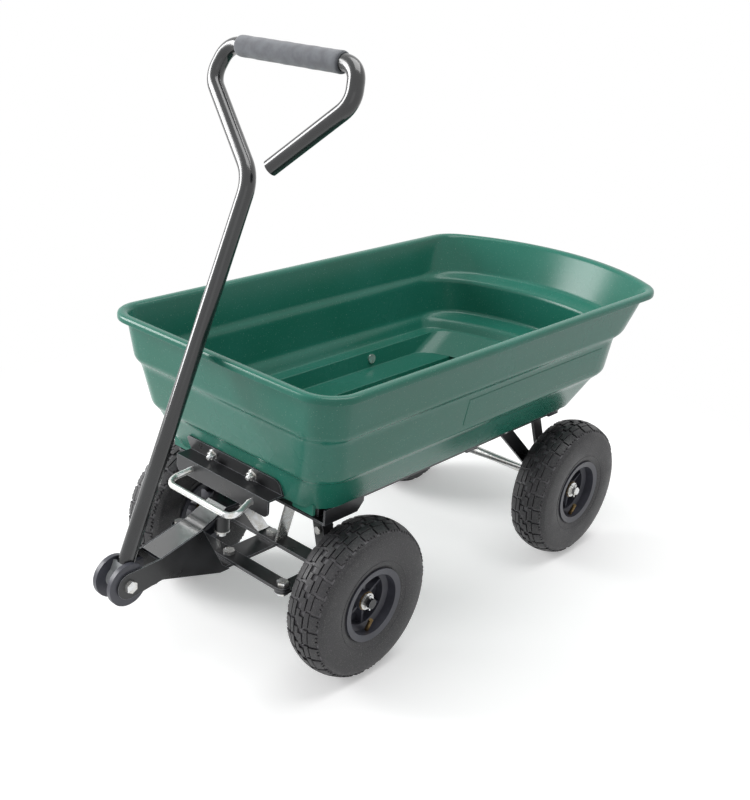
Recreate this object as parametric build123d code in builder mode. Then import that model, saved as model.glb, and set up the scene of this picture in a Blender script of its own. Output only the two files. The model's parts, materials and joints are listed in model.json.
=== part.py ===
from build123d import *

import os
from math import atan2, cos, degrees, hypot, radians, sin, sqrt, tan

os.makedirs("parts", exist_ok=True)

# Garden dump cart: a moulded tray that tips to the rear on a steel chassis with four pneumatic
# wheels, the front pair steered by a tongue with a pull handle.
# +X points forward to the pull handle, +Y to the cart's left, +Z up, the ground at Z = 0.
# The origin lies on the ground below the middle of the cart's length and width. Millimetres.

# ---------------------------------------------------------------- fits
seat = 0.3              # gap between faces of pieces that rest on or pass each other
pin_fit = 0.05          # radial clearance of a pin or shaft in the bore that turns on it
hole_fit = 0.4          # radial clearance of a bolt in a plate that it only clamps

# ---------------------------------------------------------------- overall stations
wheelbase = 580.0
rear_overhang = 228.0   # rear axle to the back of the tray rim
nose_reach = 337.0      # front axle to the front of the tongue's nose
overall_length = rear_overhang + wheelbase + nose_reach
rear_axle_x = rear_overhang - overall_length / 2
front_axle_x = rear_axle_x + wheelbase

# ---------------------------------------------------------------- wheels
tyre_diameter = 260.0
tyre_width = 78.0
tyre_wall = 7.0
tread_width = 62.0
tread_drop = 8.0        # how far the tread's shoulders lie below its crown
shoulder_drop = 13.0    # how far the sidewall's upper end lies below the crown
bead_width = 62.0
bead_radius = 54.0
front_track = 392.0
rear_track = 384.0
rim_lip_radius = 61.0
rim_width = 72.0
rim_skin = 3.0
rim_well_radius = 45.0
rim_well_width = 26.0
rim_well_slope = 4.0
hub_radius = 16.0
hub_length = 36.0       # its ends stand well inside the rim's flanges
bush_wall = 3.0
bush_length = 14.0
bush_flange = 1.5
bush_flange_radius = 15.0
rib_count = 6
rib_thickness = 4.0
rib_depth = 26.0
web_thickness = 3.5
web_inner_radius = 30.0
valve_radius = 3.5
valve_length = 22.0
valve_tilt = 20.0       # degrees from the radial direction
axle_radius = 8.0
axle_end = 13.0         # axle beyond the wheel: washer, split pin and a little more
washer_thickness = 2.0
washer_radius = 14.0
split_pin_radius = 1.6
split_pin_overhang = 5.0
split_pin_setback = 6.0
axle_z = tyre_diameter / 2

# ---------------------------------------------------------------- tray
rim_height = 509.0
tray_width = 508.0
tray_front_reach = 150.0    # front axle to the front of the rim
tray_skirt_z = 290.0        # lower edge of the outer walls
tray_wall = 4.0
lip_overhang = 13.0
lip_depth = 11.0
lip_rounding = 4.5
upper_tier_height = 76.0
lower_tier_height = 58.0
tier_step_height = 8.0
side_step = 7.0
upper_draft = 11.0
middle_draft = 12.0
lower_draft = 28.0
upper_front_draft = 9.0
middle_front_draft = 13.0
lower_front_draft = 22.0
rear_arc_radius = 385.0
upper_rear_draft = 27.0
upper_rear_step = 38.0
middle_rear_draft = 3.0
lower_rear_step = 46.0
lower_rear_draft = 40.0
front_corner = 48.0
rim_rear_corner = 60.0
upper_rear_corner = 130.0
middle_rear_corner = 95.0
lower_rear_corner = 50.0
strip_z = 299.0         # underside of the floor strips that rest on the rails
pan_depth = 13.0        # how far the middle of the floor lies below the strips
pan_half_width = 107.0
pan_back = 56.0         # rear axle to the rear end of the middle floor
strip_back = 15.0       # rear axle to the rear end of the floor strips
shelf_height = 32.0     # shelf above the floor strips
shelf_edge_y = 168.0
shelf_edge_draft = 5.0
floor_front_corner = 30.0
front_skirt_depth = 9.0
front_skirt_wall = 6.0
front_skirt_setback = 7.0
front_skirt_inner_y = 118.0
front_skirt_outer_y = 162.0
tray_bolt_x = -175.0
tray_bolt_drop = 15.0   # side bolts below the shelf
tray_bolt_inset = 11.0  # floor bolts inside the edge of the middle floor
panel_inset = 22.0      # raised panel of the middle floor, inside its edges
panel_rise = 1.0

# ---------------------------------------------------------------- chassis
rail_height = 32.0
rail_flange = 18.0
rail_wall = 3.0
rail_half_width = 150.0
rail_front_reach = 50.0
tip_pivot_back = 10.0   # rear axle to the tray's tipping axis
tip_pivot_drop = 18.0   # tipping axis below the tray's floor strips
cross_width = 30.0
cross_thickness = 4.0
middle_cross_reach = 250.0
front_cross_reach = 43.0
gusset_y = 168.0
gusset_thickness = 3.0
gusset_height = 25.0
gusset_length = 86.0
gusset_bevel = 14.0
beam_width = 30.0
beam_thickness = 6.0
steer_plane_z = 149.0   # underside of the beam and the tie bar
kingpin_y = 124.0
kingpin_radius = 7.0
kingpin_tail = 9.0
beam_end = 19.0
leg_size = 22.0
leg_wall = 2.0
leg_top_y = 104.0
leg_foot_y = 131.0
king_brace_width = 25.0
king_brace_thickness = 4.0
king_brace_foot_y = 22.0
king_brace_top_y = 85.0
rear_leg_thickness = 6.0
rear_leg_width = 25.0
rear_leg_top_y = 104.0
rear_leg_knee_z = 158.0
rear_leg_foot_drop = 20.0
strut_thickness = 5.0
strut_width = 25.0
strut_run = 160.0       # rear axle to the strut's bolt in the rail
rod_radius = 4.0
rod_y = 98.0
hinge_pin_radius = 4.0
hinge_pin_head = 3.0
hinge_ear_radius = 12.0
hinge_ear_thickness = 3.0
hinge_flange_length = 40.0
hinge_flange_width = 24.0

# ---------------------------------------------------------------- fasteners
bolt_radius = 5.0
bolt_flats = 17.0
bolt_head = 6.0
nut_height = 5.0
bolt_tip = 2.0
small_bolt_radius = 3.0
small_bolt_flats = 12.0
small_bolt_head = 4.0
leg_bolt_z = 216.0
disc_head_radius = 9.0
disc_head_height = 2.5

# ---------------------------------------------------------------- steering and tongue
arm_length = 93.0       # kingpin to tie bar pin, and king bolt to tongue pin: one length
arm_width = 26.0
arm_thickness = 5.0
tie_width = 28.0
tie_thickness = 5.0
sleeve_radius = 13.0
sleeve_length = 38.0
stub_shoulder_radius = 12.0
strap_width = 42.0
strap_thickness = 5.0
strap_z = 249.0         # underside of the level stretch
strap_rear_reach = 22.0
strap_bend_reach = 120.0
strap_knee_reach = 168.0
strap_knee_z = 228.0
strap_tip_reach = 247.0
strap_tip_z = 208.0
foot_plate_front = 132.0
foot_plate_thickness = 5.0
side_plate_thickness = 3.0
plate_nose_radius = 21.0
plate_heel_reach = 112.0
plate_rise_reach = 128.0
plate_rise_z = 157.0
plate_belly_reach = 245.0
plate_belly_z = 177.0
nose_radius = 33.0
nose_z = 190.0
cheek_gap = 26.6        # room between the cheeks for the handle's foot
cheek_tail = 52.0
cheek_tail_height = 28.0
stop_radius = 4.0
stop_height = 22.0      # along the handle, above its pivot
spacer_radius = 9.0

# ---------------------------------------------------------------- handle
handle_lean = 22.4      # degrees back from upright at rest
tube_radius = 12.5
tube_wall = 2.0
foot_length = 26.0
foot_radius = 16.0
foot_width = 26.0
plug_length = 34.0
neck_length = 612.0     # pivot to the corner where the loop begins
loop_shoulder = 740.0
loop_shoulder_y = 143.0
handle_length = 792.0   # pivot to the grip's centre line
loop_top_y = 130.0
loop_end = 631.0
loop_end_y = 32.0
neck_bend = 60.0
shoulder_bend = 34.0
top_bend = 30.0
grip_radius = 16.0
grip_half_length = 104.0

# ---------------------------------------------------------------- latch
bracket_half_width = 107.0
bracket_thickness = 3.0
bracket_reach = 35.0    # tray's front wall to the front of the bracket's lip
bracket_foot_z = 268.0
bracket_flange_z = 294.0
bracket_top_z = 325.0
bracket_corner = 10.0
bracket_bolt_y = 46.0
bracket_bolt_z = 311.0
bail_radius = 5.0
bail_root_y = 70.0
bail_root_z = 282.0
bail_stem = 4.0         # straight rod in front of the lip before it droops
bail_reach = 44.0
bail_droop = 15.0       # degrees below level
bail_half_width = 80.0
bail_corner = 16.0
latch_travel = 12.0
spring_wall = 2.5
hook_plate_height = 12.0
hook_thickness = 4.0
hook_width = 24.0
hook_y = 46.0
hook_bottom_z = 257.5
keeper_gap = 0.5
keeper_depth = 14.0
keeper_half_width = 66.0
keeper_thickness = 3.0

# ---------------------------------------------------------------- derived stations
tray_front_x = front_axle_x + tray_front_reach
tray_back_x = rear_axle_x - rear_overhang
rail_top_z = strip_z - seat
rail_bottom_z = rail_top_z - rail_height
rail_inner_y = rail_half_width - rail_wall
rail_front_x = front_axle_x + rail_front_reach
cross_bottom_z = rail_bottom_z - cross_thickness
tip_x = rear_axle_x - tip_pivot_back
tip_z = strip_z - tip_pivot_drop
front_cross_x = front_axle_x + front_cross_reach
beam_top_z = steer_plane_z + beam_thickness
arm_top_z = steer_plane_z - seat
pivot_x = front_axle_x + nose_reach - nose_radius
plate_inner_y = strap_width / 2
wheel_half = hub_length / 2 + bush_flange
rear_leg_outer_y = rail_inner_y - strut_thickness
handle_lean_rad = radians(handle_lean)
handle_dir = Vector(-sin(handle_lean_rad), 0, cos(handle_lean_rad))
handle_plane = Plane(origin=(pivot_x, 0, nose_z), x_dir=(0, 1, 0),
                     z_dir=(cos(handle_lean_rad), 0, sin(handle_lean_rad)))
handle_side = Plane(origin=(pivot_x, 0, nose_z),
                    x_dir=(cos(handle_lean_rad), 0, sin(handle_lean_rad)), z_dir=(0, -1, 0))
sides = ((1, "left"), (-1, "right"))


def write_piece(piece, name):
    """Label a finished piece with its node name and write it as its own STEP file."""
    piece.part.label = name
    export_step(piece.part, f"parts/{name}.step")


def facing(x, y, z, direction):
    """Plane at a point whose normal is the given direction."""
    return Plane(origin=(x, y, z), z_dir=direction)


def lengthwise(y):
    """Upright plane along the cart: sketches on it are drawn in X and Z."""
    return Plane(origin=(0, y, 0), x_dir=(1, 0, 0), z_dir=(0, -1, 0))


def crosswise(x):
    """Upright plane across the cart: sketches on it are drawn in Y and Z."""
    return Plane(origin=(x, 0, 0), x_dir=(0, 1, 0), z_dir=(1, 0, 0))


def bolt_and_nut(plane, grip, radius=bolt_radius, flats=bolt_flats, head=bolt_head):
    """Hex bolt whose head bears on the plane; its nut bears on the far side of the grip."""
    with BuildPart() as bolt:
        with BuildSketch(plane):
            RegularPolygon(flats / 2, 6, major_radius=False)
        extrude(amount=head)
        with BuildSketch(plane):
            Circle(radius)
        extrude(amount=-(grip + nut_height + bolt_tip))
        with BuildSketch(plane.offset(-grip)):
            RegularPolygon(flats / 2, 6, major_radius=False)
        extrude(amount=-nut_height)
    return bolt.part


def disc_bolt(plane, grip):
    """Flat-headed slotted bolt through a thin wall, with a hex nut behind it."""
    with BuildPart() as bolt:
        with BuildSketch(plane):
            Circle(disc_head_radius)
        extrude(amount=disc_head_height)
        with BuildSketch(plane.offset(disc_head_height)):
            Rectangle(2 * disc_head_radius, disc_head_height / 2)
        extrude(amount=-disc_head_height / 2, mode=Mode.SUBTRACT)
        with BuildSketch(plane):
            Circle(small_bolt_radius)
        extrude(amount=-(grip + nut_height))
        with BuildSketch(plane.offset(-grip)):
            RegularPolygon(small_bolt_flats / 2, 6, major_radius=False)
        extrude(amount=-small_bolt_head)
    return bolt.part


def washer(plane, bore):
    """Plain round washer standing on the plane."""
    with BuildPart() as ring:
        with BuildSketch(plane):
            Circle(washer_radius)
            Circle(bore, mode=Mode.SUBTRACT)
        extrude(amount=washer_thickness)
    return ring.part


def split_pin(plane, shaft_radius):
    """Split pin through a shaft, lying along the plane's normal."""
    with BuildPart() as pin:
        with BuildSketch(plane):
            Circle(split_pin_radius)
        extrude(amount=shaft_radius + split_pin_overhang, both=True)
    return pin.part


# ================================================================ tray
middle_tier_z = tray_skirt_z + lower_tier_height
upper_tier_z = rim_height - upper_tier_height


def lerp(start, end, share):
    """Value at a share of the way from start to end."""
    return start + (end - start) * share


def tray_stations(wall):
    """Plan outlines of the tray's walls from the bottom up, drawn in by the wall thickness."""
    width = tray_width / 2 - lip_overhang - wall
    front = tray_front_x - lip_overhang - wall
    back = tray_back_x + lip_overhang + wall
    corner = front_corner - wall
    stations = [(rim_height, width, front, back, corner, rim_rear_corner - wall)]
    width -= upper_draft
    front -= upper_front_draft
    back += upper_rear_draft
    stations.append((upper_tier_z + wall, width, front, back, corner, upper_rear_corner - wall))
    width -= side_step
    front -= side_step
    back += upper_rear_step
    lower_edge = upper_tier_z - tier_step_height + wall
    stations.append((lower_edge, width, front, back, corner, middle_rear_corner - wall))
    width -= middle_draft
    front -= middle_front_draft
    back += middle_rear_draft
    upper_edge = middle_tier_z + tier_step_height + wall
    stations.append((upper_edge, width, front, back, corner, middle_rear_corner - wall))
    width -= side_step
    front -= side_step
    back += lower_rear_step
    stations.append((middle_tier_z + wall, width, front, back, corner, lower_rear_corner - wall))
    width -= lower_draft
    front -= lower_front_draft
    back += lower_rear_draft
    stations.append((tray_skirt_z, width, front, back, corner, lower_rear_corner - wall))
    return stations[::-1]


def tray_outline(z, half_width, front, back, corner, rear_corner):
    """Plan outline: straight front and sides, and a rear end on one wide arc."""
    arc_x = back + rear_arc_radius
    rear_y = half_width - rear_corner
    rear_x = arc_x - sqrt((rear_arc_radius - rear_corner) ** 2 - rear_y ** 2)
    turn = degrees(atan2(rear_y, rear_x - arc_x))
    front_x = front - corner
    front_y = half_width - corner
    with BuildSketch(Plane.XY.offset(z)) as outline:
        with BuildLine():
            CenterArc((front_x, front_y), corner, 0, 90)
            Line((front_x, half_width), (rear_x, half_width))
            CenterArc((rear_x, rear_y), rear_corner, 90, turn - 90)
            CenterArc((arc_x, 0), rear_arc_radius, turn, 2 * (180 - turn))
            CenterArc((rear_x, -rear_y), rear_corner, 360 - turn, turn - 90)
            Line((rear_x, -half_width), (front_x, -half_width))
            CenterArc((front_x, -front_y), corner, 270, 90)
            Line((front, -front_y), (front, front_y))
        make_face()
    return outline.sketch


outer = tray_stations(0)
inner = tray_stations(tray_wall)
bottom_half_width, bottom_front, bottom_back = outer[0][1:4]
strip_floor_z = strip_z + tray_wall
pan_z = strip_z - pan_depth
pan_floor_z = pan_z + tray_wall
shelf_z = strip_floor_z + shelf_height


def wall_at(z, index, stations):
    """Half width, front or back of the lower tier's wall at a height."""
    share = (z - stations[0][0]) / (stations[1][0] - stations[0][0])
    return lerp(stations[0][index], stations[1][index], share)


def front_wall_x(z):
    """Outer face of the tray's lower front wall at a height."""
    return wall_at(z, 2, outer)


def floor_pocket(foot, top, corner, rear_corner):
    """Tapered pocket that a floor level leaves. Its foot and top are (height, half width, back)."""
    with BuildPart() as pocket:
        for z, half, back in (foot, top):
            add(tray_outline(z, half, wall_at(z, 2, inner), back, corner, rear_corner))
        loft(ruled=True)
    return pocket.part


def shelf_bolt_plane(side):
    """Seat of a bolt head on the sloping face below a shelf."""
    tilt = atan2(shelf_edge_draft, shelf_height)
    face_y = shelf_edge_y - tray_bolt_drop * tan(tilt) - seat
    return facing(tray_bolt_x, side * face_y, shelf_z - tray_bolt_drop,
                  (0, -side * cos(tilt), sin(tilt)))


def bracket_bolt_plane(side):
    """Seat of a bolt head on the latch bracket, square to the tray's front wall."""
    lean = atan2(lower_front_draft, lower_tier_height)
    return facing(front_wall_x(bracket_bolt_z) + bracket_thickness + 2 * seat,
                  side * bracket_bolt_y, bracket_bolt_z, (cos(lean), 0, -sin(lean)))


with BuildPart() as tray:
    for station in outer:
        add(tray_outline(*station))
    loft(ruled=True)
    # rolled lip, turned down outside the wall
    add(tray_outline(rim_height - lip_depth, tray_width / 2, tray_front_x, tray_back_x,
                     front_corner + lip_overhang, rim_rear_corner + lip_overhang))
    extrude(amount=lip_depth)
    fillet(tray.edges().group_by(Axis.Z)[-1], lip_rounding)
    with BuildSketch(Plane.XY.offset(rim_height - lip_depth)):
        add(tray_outline(0, tray_width / 2 - tray_wall, tray_front_x - tray_wall,
                         tray_back_x + tray_wall, front_corner + lip_overhang - tray_wall,
                         rim_rear_corner + lip_overhang - tray_wall))
        add(tray_outline(0, *outer[-1][1:]), mode=Mode.SUBTRACT)
    extrude(amount=lip_depth - tray_wall, mode=Mode.SUBTRACT)
    # hollow above the shelves
    share = (shelf_z - inner[0][0]) / (inner[1][0] - inner[0][0])
    shelf_station = [shelf_z] + [lerp(inner[0][i], inner[1][i], share) for i in range(1, 6)]
    top_station = [rim_height + tray_wall, *inner[-1][1:]]
    for station in [shelf_station, *inner[1:], top_station]:
        add(tray_outline(*station))
    loft(ruled=True, mode=Mode.SUBTRACT)
    # middle pan below the strips
    pan_front = wall_at(tray_skirt_z, 2, inner)
    pan_rear = rear_axle_x - pan_back
    pan_outline = (pan_half_width + tray_wall, pan_front + tray_wall, pan_rear - tray_wall,
                   2 * tray_wall, 2 * tray_wall)
    add(tray_outline(pan_z, *pan_outline))
    extrude(amount=strip_floor_z - pan_z)
    # floor levels
    strip_rear = rear_axle_x - strip_back
    slope_top = (shelf_z + seat, wall_at(shelf_z, 3, inner) + tray_wall)
    add(floor_pocket((strip_floor_z, shelf_edge_y - shelf_edge_draft, strip_rear),
                     (slope_top[0], shelf_edge_y, slope_top[1]), floor_front_corner,
                     lower_rear_corner - tray_wall), mode=Mode.SUBTRACT)
    add(floor_pocket((pan_floor_z, pan_half_width, pan_rear),
                     (slope_top[0], pan_half_width, slope_top[1]), tray_wall, tray_wall),
        mode=Mode.SUBTRACT)
    # raised panel that carries the load, clear of the floor bolts
    with BuildSketch(Plane.XY.offset(pan_floor_z)):
        with Locations(((pan_front + pan_rear) / 2, 0)):
            RectangleRounded(pan_front - pan_rear - 2 * panel_inset,
                             2 * (pan_half_width - panel_inset), panel_inset / 2)
    extrude(amount=panel_rise)
    # underside inside the skirt
    with BuildSketch(Plane.XY.offset(tray_skirt_z)):
        add(tray_outline(0, *inner[0][1:]))
        add(tray_outline(0, *pan_outline), mode=Mode.SUBTRACT)
    extrude(amount=strip_z - tray_skirt_z, mode=Mode.SUBTRACT)
    # hollow below each shelf, open downwards
    hollow_back = rear_axle_x - strip_back + lower_rear_corner
    hollow_front = bottom_front - front_corner
    shelf_under_z = shelf_z - tray_wall
    shelf_under_y = shelf_edge_y + tray_wall
    hollow_low_y = shelf_under_y - shelf_edge_draft
    hollow_outer_y = wall_at(shelf_under_z, 1, outer) - tray_wall
    for side, hand in sides:
        with BuildSketch(crosswise(hollow_back)):
            with BuildLine():
                Polyline((side * hollow_low_y, tray_skirt_z), (side * hollow_low_y, strip_z),
                         (side * shelf_under_y, shelf_under_z),
                         (side * hollow_outer_y, shelf_under_z),
                         (side * (bottom_half_width - tray_wall), tray_skirt_z), close=True)
            make_face()
        extrude(amount=hollow_front - hollow_back, mode=Mode.SUBTRACT)
    # front skirts each side of the latch
    skirt_x = bottom_front - front_skirt_setback
    for side, hand in sides:
        with BuildSketch(Plane.XY.offset(tray_skirt_z - front_skirt_depth)):
            with Locations((skirt_x, side * (front_skirt_inner_y + front_skirt_outer_y) / 2)):
                Rectangle(front_skirt_wall, front_skirt_outer_y - front_skirt_inner_y)
        extrude(amount=strip_z + tray_wall - tray_skirt_z + front_skirt_depth)
    # bolt holes in the shelf faces, the floor and the front wall
    for side, hand in sides:
        with BuildSketch(shelf_bolt_plane(side)):
            Circle(small_bolt_radius + hole_fit)
        extrude(amount=2 * tray_wall, both=True, mode=Mode.SUBTRACT)
        with Locations((tray_bolt_x, side * (pan_half_width - tray_bolt_inset), pan_floor_z)):
            Hole(small_bolt_radius + hole_fit, depth=2 * tray_wall)
        with BuildSketch(bracket_bolt_plane(side)):
            Circle(small_bolt_radius + hole_fit)
        extrude(amount=4 * tray_wall, both=True, mode=Mode.SUBTRACT)
write_piece(tray, "tray")

# tipping hinges: ears bolted under the floor strips, turning on pins through the rails
with BuildPart() as tray_hinges:
    ear_y = rail_inner_y - seat - hinge_ear_thickness / 2
    flange_y = rail_inner_y - seat - hinge_flange_width / 2
    for side, hand in sides:
        with BuildSketch(lengthwise(side * ear_y)):
            with Locations((tip_x, tip_z)):
                Circle(hinge_ear_radius)
            with Locations((tip_x, (tip_z + strip_z) / 2)):
                Rectangle(2 * hinge_ear_radius, strip_z - tip_z)
            with Locations((tip_x, tip_z)):
                Circle(hinge_pin_radius + pin_fit, mode=Mode.SUBTRACT)
        extrude(amount=hinge_ear_thickness / 2, both=True)
        with BuildSketch(Plane.XY.offset(strip_z - hinge_ear_thickness)):
            with Locations((tip_x - hinge_ear_radius + hinge_flange_length / 2, side * flange_y)):
                Rectangle(hinge_flange_length, hinge_flange_width)
        extrude(amount=hinge_ear_thickness)
write_piece(tray_hinges, "tray_hinges")

with BuildPart() as tray_bolts:
    for side, hand in sides:
        add(disc_bolt(shelf_bolt_plane(side), tray_wall + 4 * seat))
        add(disc_bolt(facing(tray_bolt_x, side * (pan_half_width - tray_bolt_inset), pan_floor_z,
                             (0, 0, 1)), tray_wall))
write_piece(tray_bolts, "tray_bolts")

# ================================================================ chassis
strut_bolt_x = rear_axle_x + strut_run
rail_length = rail_front_x - tip_x
for side, hand in sides:
    with BuildPart() as side_rail:
        with BuildSketch(lengthwise(side * (rail_inner_y + rail_wall / 2))):
            with Locations(((rail_front_x + tip_x) / 2, (rail_bottom_z + rail_top_z) / 2)):
                Rectangle(rail_length, rail_height)
            with Locations((tip_x, tip_z)):
                Circle(tip_z - rail_bottom_z)
                Circle(hinge_pin_radius + pin_fit, mode=Mode.SUBTRACT)
            with Locations((strut_bolt_x, tip_z)):
                Circle(bolt_radius + hole_fit, mode=Mode.SUBTRACT)
        extrude(amount=rail_wall / 2, both=True)
        with BuildSketch(Plane.XY.offset(rail_top_z - rail_wall)):
            with Locations(((rail_front_x + tip_x) / 2, side * (rail_inner_y + rail_flange / 2))):
                Rectangle(rail_length, rail_flange)
        extrude(amount=rail_wall)
    write_piece(side_rail, f"side_rail_{hand}")

with BuildPart() as hinge_pins:
    for side, hand in sides:
        with BuildSketch(facing(tip_x, side * rail_half_width, tip_z, (0, side, 0))):
            Circle(2 * hinge_pin_radius)
        extrude(amount=hinge_pin_head)
        with BuildSketch(facing(tip_x, side * rail_half_width, tip_z, (0, -side, 0))):
            Circle(hinge_pin_radius)
        extrude(amount=rail_wall + hinge_ear_thickness + 2 * washer_thickness)
write_piece(hinge_pins, "hinge_pins")

middle_cross_x = rear_axle_x + middle_cross_reach
crossmembers = (("front_crossmember", front_cross_x, gusset_y),
                ("bridge_crossmember", front_axle_x, gusset_y),
                ("middle_crossmember", middle_cross_x, rail_half_width),
                ("rear_crossmember", rear_axle_x, rail_half_width))
for name, cross_x, half_length in crossmembers:
    with BuildPart() as crossmember:
        with BuildSketch(Plane.XY.offset(cross_bottom_z)):
            with Locations((cross_x, 0)):
                Rectangle(cross_width, 2 * half_length)
            if cross_x == front_axle_x:
                with Locations((cross_x, 0)):
                    Circle(bolt_radius + hole_fit, mode=Mode.SUBTRACT)
        extrude(amount=cross_thickness)
    write_piece(crossmember, name)

gusset_front_x = front_cross_x + cross_width / 2
gusset_rear_x = gusset_front_x - gusset_length
gusset_top_z = cross_bottom_z + gusset_height
with BuildPart() as corner_gussets:
    for side, hand in sides:
        with BuildSketch(lengthwise(side * (gusset_y + gusset_thickness / 2))):
            with BuildLine():
                Polyline((gusset_front_x, cross_bottom_z), (gusset_front_x, gusset_top_z),
                         (gusset_rear_x, gusset_top_z),
                         (gusset_rear_x, cross_bottom_z + gusset_bevel),
                         (gusset_rear_x + gusset_bevel, cross_bottom_z), close=True)
            make_face()
        extrude(amount=gusset_thickness / 2, both=True)
write_piece(corner_gussets, "corner_gussets")

for side, hand in sides:
    with BuildPart() as front_leg:
        for half, depth, mode in ((leg_size / 2, leg_size, Mode.ADD),
                                  (leg_size / 2 - leg_wall, leg_size - 2 * leg_wall,
                                   Mode.SUBTRACT)):
            with BuildSketch(crosswise(front_axle_x)):
                with BuildLine():
                    Polyline((side * (leg_top_y - half), cross_bottom_z),
                             (side * (leg_top_y + half), cross_bottom_z),
                             (side * (leg_foot_y + half), beam_top_z),
                             (side * (leg_foot_y - half), beam_top_z), close=True)
                make_face()
            extrude(amount=depth / 2, both=True, mode=mode)
        leg_share = (cross_bottom_z - leg_bolt_z) / (cross_bottom_z - beam_top_z)
        leg_bolt_y = lerp(leg_top_y, leg_foot_y, leg_share)
        with BuildSketch(crosswise(front_axle_x)):
            with Locations((side * leg_bolt_y, leg_bolt_z)):
                Circle(small_bolt_radius + hole_fit)
        extrude(amount=leg_size, both=True, mode=Mode.SUBTRACT)
    write_piece(front_leg, f"front_leg_{hand}")

with BuildPart() as front_axle_beam:
    with BuildSketch(Plane.XY.offset(steer_plane_z)):
        with Locations((front_axle_x, 0)):
            SlotOverall(2 * (kingpin_y + beam_end), beam_width, rotation=90)
            Circle(bolt_radius + hole_fit, mode=Mode.SUBTRACT)
        for side, hand in sides:
            with Locations((front_axle_x, side * kingpin_y)):
                Circle(kingpin_radius + pin_fit, mode=Mode.SUBTRACT)
    extrude(amount=beam_thickness)
write_piece(front_axle_beam, "front_axle_beam")

with BuildPart() as king_braces:
    for side, hand in sides:
        for z, x, y in ((beam_top_z, front_axle_x, king_brace_foot_y),
                        (cross_bottom_z, front_cross_x, king_brace_top_y)):
            with BuildSketch(Plane.XY.offset(z)):
                with Locations((x, side * y)):
                    Rectangle(king_brace_width, king_brace_thickness)
        loft(ruled=True)
write_piece(king_braces, "king_braces")

knee_inner_y = rear_leg_outer_y - rear_leg_thickness
rear_leg_bottom_z = axle_z - rear_leg_foot_drop
for side, hand in sides:
    with BuildPart() as rear_leg:
        with BuildSketch(crosswise(rear_axle_x)):
            with BuildLine():
                Polyline((side * rear_leg_top_y, cross_bottom_z),
                         (side * (rear_leg_top_y + rear_leg_thickness), cross_bottom_z),
                         (side * rear_leg_outer_y, rear_leg_knee_z),
                         (side * rear_leg_outer_y, rear_leg_bottom_z),
                         (side * knee_inner_y, rear_leg_bottom_z),
                         (side * knee_inner_y, rear_leg_knee_z), close=True)
            make_face()
        extrude(amount=rear_leg_width / 2, both=True)
        with BuildSketch(lengthwise(side * rear_leg_outer_y)):
            with Locations((rear_axle_x, axle_z)):
                Circle(axle_radius + pin_fit)
        extrude(amount=2 * rear_leg_thickness, both=True, mode=Mode.SUBTRACT)
    write_piece(rear_leg, f"rear_leg_{hand}")

with BuildPart() as rear_struts:
    for side, hand in sides:
        with BuildSketch(lengthwise(side * (rail_inner_y - strut_thickness / 2))):
            with Locations((rear_axle_x, axle_z), (strut_bolt_x, tip_z)):
                Circle(strut_width / 2)
            make_hull()
            with Locations((rear_axle_x, axle_z)):
                Circle(axle_radius + pin_fit, mode=Mode.SUBTRACT)
            with Locations((strut_bolt_x, tip_z)):
                Circle(bolt_radius + hole_fit, mode=Mode.SUBTRACT)
        extrude(amount=strut_thickness / 2, both=True)
write_piece(rear_struts, "rear_struts")


rear_wheel_y = rear_track / 2
rear_axle_half = rear_wheel_y + wheel_half + axle_end
rear_pin_y = rear_axle_half - split_pin_setback
with BuildPart() as rear_axle:
    with BuildSketch(lengthwise(0)):
        with Locations((rear_axle_x, axle_z)):
            Circle(axle_radius)
    extrude(amount=rear_axle_half, both=True)
    chamfer(rear_axle.edges().filter_by(GeomType.CIRCLE), axle_radius / 5)
    for side, hand in sides:
        with BuildSketch(Plane.XY.offset(axle_z)):
            with Locations((rear_axle_x, side * rear_pin_y)):
                Circle(split_pin_radius + pin_fit)
        extrude(amount=2 * axle_radius, both=True, mode=Mode.SUBTRACT)
write_piece(rear_axle, "rear_axle")

with BuildPart() as rear_axle_fittings:
    for side, hand in sides:
        spacer_end = rear_wheel_y - wheel_half - seat
        with BuildSketch(facing(rear_axle_x, side * rail_inner_y, axle_z, (0, side, 0))):
            Circle(washer_radius)
            Circle(axle_radius + pin_fit, mode=Mode.SUBTRACT)
        extrude(amount=spacer_end - rail_inner_y)
        add(washer(facing(rear_axle_x, side * (rear_wheel_y + wheel_half + seat), axle_z,
                          (0, side, 0)), axle_radius + pin_fit))
        add(split_pin(Plane(origin=(rear_axle_x, side * rear_pin_y, axle_z), z_dir=(0, 0, 1)),
                      axle_radius))
write_piece(rear_axle_fittings, "rear_axle_fittings")

rod_end_z = cross_bottom_z - rod_radius
rod_rise = atan2(rod_end_z - axle_z, middle_cross_reach)
rod_start = axle_radius + pin_fit
rod_length = hypot(rod_end_z - axle_z, middle_cross_reach) - rod_start
with BuildPart() as axle_brace_rods:
    for side, hand in sides:
        with BuildSketch(Plane(origin=(rear_axle_x + rod_start * cos(rod_rise), side * rod_y,
                                       axle_z + rod_start * sin(rod_rise)),
                               z_dir=(cos(rod_rise), 0, sin(rod_rise)))):
            Circle(rod_radius)
        extrude(amount=rod_length)
write_piece(axle_brace_rods, "axle_brace_rods")

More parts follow.
